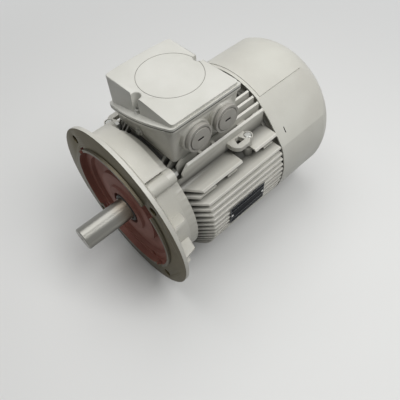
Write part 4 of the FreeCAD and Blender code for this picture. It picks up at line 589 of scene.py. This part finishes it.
def face_reach(mesh):
    """Nearest and farthest distance from the shaft axis, and first and last place along it, of each face's
    corners."""
    places = np.empty(len(mesh.vertices) * 3)
    mesh.vertices.foreach_get("co", places)
    places = places.reshape(-1, 3)
    corners = np.empty(len(mesh.loops), int)
    mesh.loops.foreach_get("vertex_index", corners)
    first = np.empty(len(mesh.polygons), int)
    mesh.polygons.foreach_get("loop_start", first)
    distance = np.hypot(places[:, 0], places[:, 2])[corners]
    along = places[:, 1][corners]
    return (
        np.minimum.reduceat(distance, first),
        np.maximum.reduceat(distance, first),
        np.minimum.reduceat(along, first),
        np.maximum.reduceat(along, first),
    )


def dressed(node, edge, slot, finish=None, regions=(), crease=CREASE, narrow=0.0, brow=0.0):
    """A casting or moulding as it leaves its mould: the node's shape with every sharp edge rounded by edge.

    regions are pairs of a finish and a test; the test takes what face_reach gives and says which faces have
    that finish instead. Edges of faces no larger than narrow stay sharp, because one narrow face would hold back
    the rounding of every edge. brow rounds the edges of the top face more than the rest.
    """
    work = bmesh.new()
    work.from_mesh(frame["nodes"][node].data)
    # The node's mesh is loose triangles: they are joined, and its flat faces made whole
    bmesh.ops.remove_doubles(work, verts=work.verts, dist=SAME_PLACE)
    bmesh.ops.dissolve_limit(work, angle_limit=math.radians(0.2), verts=work.verts, edges=work.edges)
    sharp = [
        line
        for line in work.edges
        if line.is_manifold
        and line.calc_face_angle(0.0) > crease
        and min(face.calc_area() for face in line.link_faces) > narrow
    ]
    if brow:
        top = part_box(node)[1][2] - 0.05 * MM
        rim = [line for line in sharp if min(corner.co.z for corner in line.verts) > top]
        bmesh.ops.bevel(
            work, geom=rim, offset=brow, segments=3, profile=0.5, affect="EDGES", clamp_overlap=False
        )
        sharp = [line for line in sharp if line.is_valid and line.calc_face_angle(0.0) > crease]
    if edge:
        bmesh.ops.bevel(
            work, geom=sharp, offset=edge, segments=2, profile=0.6, affect="EDGES", clamp_overlap=True
        )
    mesh = bpy.data.meshes.new(f"dressed_{node}")
    work.to_mesh(mesh)
    work.free()
    for material in [finish or FINISHES[slot]] + [special for special, _ in regions]:
        mesh.materials.append(material)
    reach = face_reach(mesh)
    chosen = np.zeros(len(mesh.polygons), int)
    for number, (_, test) in enumerate(regions, start=1):
        chosen[test(*reach)] = number
    mesh.polygons.foreach_set("material_index", chosen)
    put(node, mesh, crease)


# How far the rounding of an edge can move a corner
HAIR = 0.9 * MM


def mounting_face(nearest, farthest, front, back):
    """The faced ring between the spigot and the rim, and the walls of its bolt holes."""
    ring = (nearest > SPIGOT_RADIUS - HAIR) & (front > -HAIR) & (back < HAIR)
    deep = (front < HAIR) & (back > 5 * MM)
    holes = deep & (nearest > BOLT_HOLES_INSIDE) & (farthest < BOLT_HOLES_OUTSIDE)
    return ring | holes


def spigot(nearest, farthest, front, back):
    """The ring that stands forward of the mounting face and centres the motor in the machine."""
    return (nearest > SPIGOT_INSIDE) & (farthest < SPIGOT_RADIUS + HAIR) & (back < HAIR)


def spigot_mouth_highlight(nearest, farthest, front, back):
    """The small bevel round the spigot's mouth, given a pale metal as a painted highlight."""
    mouth = back < -3 * MM
    return mouth & (nearest > SPIGOT_INSIDE) & (farthest < SPIGOT_INSIDE + 2 * MM)


def spigot_notches(nearest, farthest, front, back):
    """The four cuts across the spigot at the diagonals; the spigot's round walls have no reach across them."""
    shallow = (front < 5.5 * MM) & (back < 6 * MM)
    cut = shallow & (nearest > NOTCHES_INSIDE) & (farthest < NOTCHES_OUTSIDE)
    across = farthest - nearest > 1.5 * MM
    beyond = nearest > SPIGOT_RADIUS + 1.5 * MM
    return cut & (across | beyond)


def dish(nearest, farthest, front, back):
    """The hollow inside the spigot, which is primed and not painted."""
    return (farthest < DISH_RADIUS) & (back < DISH_REAR)


def shaded_latch_tongues(nearest, farthest, front, back):
    """The tips of the rear shield's arms, given the dark seal rubber as painted shade."""
    return (nearest > LATCH_TONGUES_INSIDE) & (front > LATCH_TONGUES_FRONT)


def shaded_latch_slots(nearest, farthest, front, back):
    """The walls of the hood's latch slots, given the dark seal rubber as painted shade."""
    return (nearest > LATCH_SLOTS_INSIDE) & (front > LATCH_SLOTS_FRONT) & (back < LATCH_SLOTS_REAR)


# Where two tests meet, the later one holds
SHIELD_REGIONS = [
    (PRIMER, dish),
    (PRIMER, spigot_notches),
    (FACE_METAL, mounting_face),
    (SPIGOT_METAL, spigot),
    (SPIGOT_HIGHLIGHT_METAL, spigot_mouth_highlight),
]
# The dark seal rubber is painted shade on the rear shield's latch tongues and in the hood's latch slots
TONGUE_SHADE_REGIONS = [(FINISHES["seal_rubber"], shaded_latch_tongues)]
SLOT_SHADE_REGIONS = [(FINISHES["seal_rubber"], shaded_latch_slots)]

dressed("flange_shield", 0.8 * MM, "painted_casting", regions=SHIELD_REGIONS)
dressed("housing", 0.7 * MM, "painted_casting", FIN_ENAMEL, narrow=SLIVER)
dressed("nde_shield", 0.8 * MM, "painted_casting", regions=TONGUE_SHADE_REGIONS)
dressed("lifting_lugs", 1.2 * MM, "painted_casting")
dressed("terminal_box_base", 0.9 * MM, "painted_casting", narrow=SLIVER)
dressed("terminal_box_cover", 0.9 * MM, "painted_casting", COVER_ENAMEL, narrow=SLIVER, brow=1.8 * MM)
dressed("fan_cover", 0.9 * MM, "hood_plastic", regions=SLOT_SHADE_REGIONS, crease=HOOD_CREASE)
dressed("blanking_plugs", 0.3 * MM, "hood_plastic", PLUG_FINISH)
dressed("shaft", 0.3 * MM, "turned_steel")
dressed("cover_gasket", 0.0, "seal_rubber")
dressed("de_shaft_seal", 0.3 * MM, "seal_rubber")
dressed("nameplate", 0.15 * MM, "plate_black")
dressed("nameplate_rivets", 0.5 * MM, "rivet_aluminium")


# Screws, as rings in millimetres: inner half width, height over the head's seat, and round or hexagonal
ROUND, HEXAGON = 0, 1
HEX_SCREW = [
    (0, -24, ROUND),
    (3.4, -24, ROUND),
    (4, -23.4, ROUND),
    (4, 0, ROUND),
    (6.2, 0, ROUND),
    (6.4, 0.3, ROUND),
    (6.4, 1.2, ROUND),
    (5.6, 1.4, HEXAGON),
    (5.6, 7.3, HEXAGON),
    (5.2, 8, ROUND),
    (4.2, 8, ROUND),
    (3.9, 7.6, ROUND),
    (0, 7.6, ROUND),
]
LOW_HEX_SCREW = [
    (0, -24, ROUND),
    (4, -24, ROUND),
    (4, 0, ROUND),
    (5.5, 0, HEXAGON),
    (5.5, 3.5, HEXAGON),
    (5.1, 4, ROUND),
    (0, 4, ROUND),
]
SOCKET_HEAD = 6
SOCKET_SCREW = [
    (0, -20, ROUND),
    (2.4, -20, ROUND),
    (3, -19.4, ROUND),
    (3, 0, ROUND),
    (4.8, 0, ROUND),
    (5, 0.2, ROUND),
    (5, 1.1, ROUND),
    (4.1, 1.3, HEXAGON),
    (4.1, 5.5, HEXAGON),
    (3.9, SOCKET_HEAD, ROUND),
    (2.7, SOCKET_HEAD, ROUND),
    (2.3, 5.7, HEXAGON),
    (2.3, 3, HEXAGON),
    (0, 2.8, ROUND),
]
SMALL_SCREW = [
    (0, -14, ROUND),
    (2.5, -14, ROUND),
    (2.5, 0, ROUND),
    (4.2, 0, ROUND),
    (4.4, 0.2, ROUND),
    (4.4, 0.9, ROUND),
    (3.7, 1, HEXAGON),
    (3.7, 3.1, HEXAGON),
    (3.4, 3.5, ROUND),
    (0, 3.5, ROUND),
]
# The turns that point a screw's head, whose own axis is Z
TOWARDS_REAR = np.array([[1, 0, 0], [0, 0, 1], [0, -1, 0]])
TOWARDS_FRONT = np.array([[1, 0, 0], [0, 0, -1], [0, 1, 0]])
UPWARDS = np.eye(3)


def screw_set(node, rows, places, turn):
    """The screws of a node, each a stack of rings about its own axis, at places in millimetres.

    A round ring keeps its radius all the way round; a hexagon's grows between the flats as 1 over the cosine of
    the angle from the middle of the nearest flat.
    """
    steps = 48
    flat = math.tau / 6
    angle = np.arange(steps) * math.tau / steps
    bulge = 1 / np.cos(angle % flat - flat / 2) - 1
    radius, height, six = np.array(rows, float).T
    reach = radius[:, None] * (1 + six[:, None] * bulge)
    rise = np.broadcast_to(height[:, None], reach.shape)
    single = np.stack([reach * np.cos(angle), reach * np.sin(angle), rise], axis=-1).reshape(-1, 3) @ turn.T
    points = (single[None] + np.array(places, float)[:, None]).reshape(-1, 3) * MM
    ring, spot = np.meshgrid(np.arange(len(rows) - 1), np.arange(steps), indexing="ij")
    corner, beside = ring * steps + spot, ring * steps + (spot + 1) % steps
    quads = np.stack([corner, beside, beside + steps, corner + steps], axis=-1).reshape(-1, 4)
    quads = (quads[None] + (np.arange(len(places)) * len(single))[:, None, None]).reshape(-1, 4)
    mesh = bpy.data.meshes.new(f"dressed_{node}")
    mesh.from_pydata(points.tolist(), [], quads.tolist())
    # The first and last rings have no width, and close the screw once their corners are one
    work = bmesh.new()
    work.from_mesh(mesh)
    bmesh.ops.remove_doubles(work, verts=work.verts, dist=SAME_PLACE)
    work.to_mesh(mesh)
    work.free()
    mesh.materials.append(FINISHES["zinc_steel"])
    put(node, mesh, SCREW_CREASE)


shield_circle, shield_angle, shield_seat = 118, math.radians(55.5), 57
across, up = shield_circle * math.cos(shield_angle), shield_circle * math.sin(shield_angle)
corners = [
    (across, shield_seat, up),
    (-across, shield_seat, up),
    (-across, shield_seat, -up),
    (across, shield_seat, -up),
]
screw_set("de_shield_screws", HEX_SCREW, corners, TOWARDS_REAR)
cover_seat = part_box("cover_screws")[1][2] / MM - SOCKET_HEAD
screw_set("cover_screws", SOCKET_SCREW, [(-5, 67.5, cover_seat), (-5, 180.5, cover_seat)], UPWARDS)
screw_set("lug_screws", LOW_HEX_SCREW, [(87.05, 191.5, 90), (-87.05, 58.5, 90)], UPWARDS)
screw_set("box_earth_screw", SMALL_SCREW, [(-4, 61, 130)], TOWARDS_FRONT)

# Every other node keeps its own shape and gets its finish
replaced = {thing.name.removeprefix("dressed_") for thing in bpy.data.objects if thing.name.startswith("dressed_")}
for name in frame["nodes"]:
    if name not in replaced:
        finish = FINISHES[slot_of(name)]
        for holder in frame["nodes"][name].material_slots:
            holder.link = "OBJECT"
            holder.material = finish


# Floor, lights and camera
BACKDROP = "#dadbdb"


def shown(tree):
    """1 on what the camera sees, straight or by a reflection, and 0 on light that only falls on other things."""
    path = add(tree, "ShaderNodeLightPath")
    seen = path.outputs["Is Camera Ray"]
    for ray in ("Is Glossy Ray", "Is Transmission Ray"):
        seen = add(tree, "ShaderNodeMath", {0: seen, 1: path.outputs[ray]}, operation="MAXIMUM").outputs[0]
    return seen


def make_floor(reach=12.0, clearance=0.5 * MM, fade_from=0.45, fade_to=1.7):
    """A pale level floor just under the flange, far larger than the motor, which fades into the backdrop."""
    level = cad_low[2] - clearance
    mesh = bpy.data.meshes.new("studio_floor")
    corners = [(-reach, -reach, level), (reach, -reach, level), (reach, reach, level), (-reach, reach, level)]
    mesh.from_pydata(corners, [], [(0, 1, 2, 3)])
    floor = bpy.data.objects.new("studio_floor", mesh)
    bpy.context.scene.collection.objects.link(floor)
    material, tree, shader, place = start_finish("pale_floor", Roughness=0.7)
    seen = shown(tree)
    # Pale to the eye and in reflections, and duller to the light that it throws back up at the motor
    tone = add(
        tree,
        "ShaderNodeMix",
        {SHARE: seen, UNDER: linear("#777775"), OVER: linear("#e4e4e2")},
        data_type="RGBA",
    )
    feed(tree, shader, Base_Color=tone.outputs[MIXED])
    away = add(tree, "ShaderNodeVectorMath", {0: place}, operation="LENGTH")
    fade = add(
        tree,
        "ShaderNodeMapRange",
        {"Value": away.outputs["Value"], "From Min": fade_from, "From Max": fade_to},
        interpolation_type="SMOOTHSTEP",
    )
    far = add(tree, "ShaderNodeMath", {0: fade.outputs[0], 1: seen}, operation="MULTIPLY")
    glow = add(tree, "ShaderNodeEmission", {"Color": linear(BACKDROP)})
    faded = add(tree, "ShaderNodeMixShader", {0: far.outputs[0], 1: shader.outputs[0], 2: glow.outputs[0]})
    tree.links.new(faded.outputs[0], tree.nodes["Material Output"].inputs["Surface"])
    mesh.materials.append(material)


def make_lamp(name, place, size, power, target=(0.0, 0.12, 0.03)):
    """A square soft box aimed at the middle of the motor."""
    lamp = bpy.data.lights.new(name, "AREA")
    lamp.size = size
    lamp.energy = power
    thing = bpy.data.objects.new(name, lamp)
    thing.location = place
    thing.rotation_euler = (Vector(target) - Vector(place)).to_track_quat("-Z", "Y").to_euler()
    bpy.context.scene.collection.objects.link(thing)


def make_world(colour, strength):
    """An even studio that shows the backdrop and gives the object a lower, plain level of light."""
    world = bpy.data.worlds.new("studio")
    world.use_nodes = True
    tree = world.node_tree
    background = tree.nodes["Background"]
    seen = shown(tree)
    tone = add(
        tree,
        "ShaderNodeMix",
        {SHARE: seen, UNDER: linear(colour), OVER: linear(BACKDROP)},
        data_type="RGBA",
    )
    level = add(tree, "ShaderNodeMapRange", {"Value": seen, "To Min": strength})
    feed(tree, background, Color=tone.outputs[MIXED], Strength=level.outputs[0])
    bpy.context.scene.world = world


def make_camera():
    """The photograph's camera: it stands above the drive end on the plugs' side and looks down at the motor."""
    place = Vector((366, -147, 541)) * MM
    right = Vector((0.6854, 0.7272, -0.0383))
    up = Vector((-0.5791, 0.5762, 0.5766))
    back = right.cross(up).normalized()
    up = back.cross(right).normalized()
    turn = Matrix((right.normalized(), up, back)).transposed()
    lens = bpy.data.cameras.new("photo_camera")
    lens.sensor_width = 36.0
    focal_pixels, frame_pixels = 406, 400
    lens.lens = focal_pixels / frame_pixels * lens.sensor_width
    camera = bpy.data.objects.new("photo_camera", lens)
    camera.matrix_world = Matrix.Translation(place) @ turn.to_4x4()
    bpy.context.scene.collection.objects.link(camera)
    bpy.context.scene.camera = camera


make_floor()
make_lamp("overhead_softbox", (-0.35, 0.25, 1.7), size=1.5, power=16)
make_lamp("plug_side_window", (0.95, 0.5, 1.7), size=1.0, power=21)
make_world("#eef0f2", 0.2)
make_camera()
bpy.context.scene.view_settings.view_transform = "Standard"
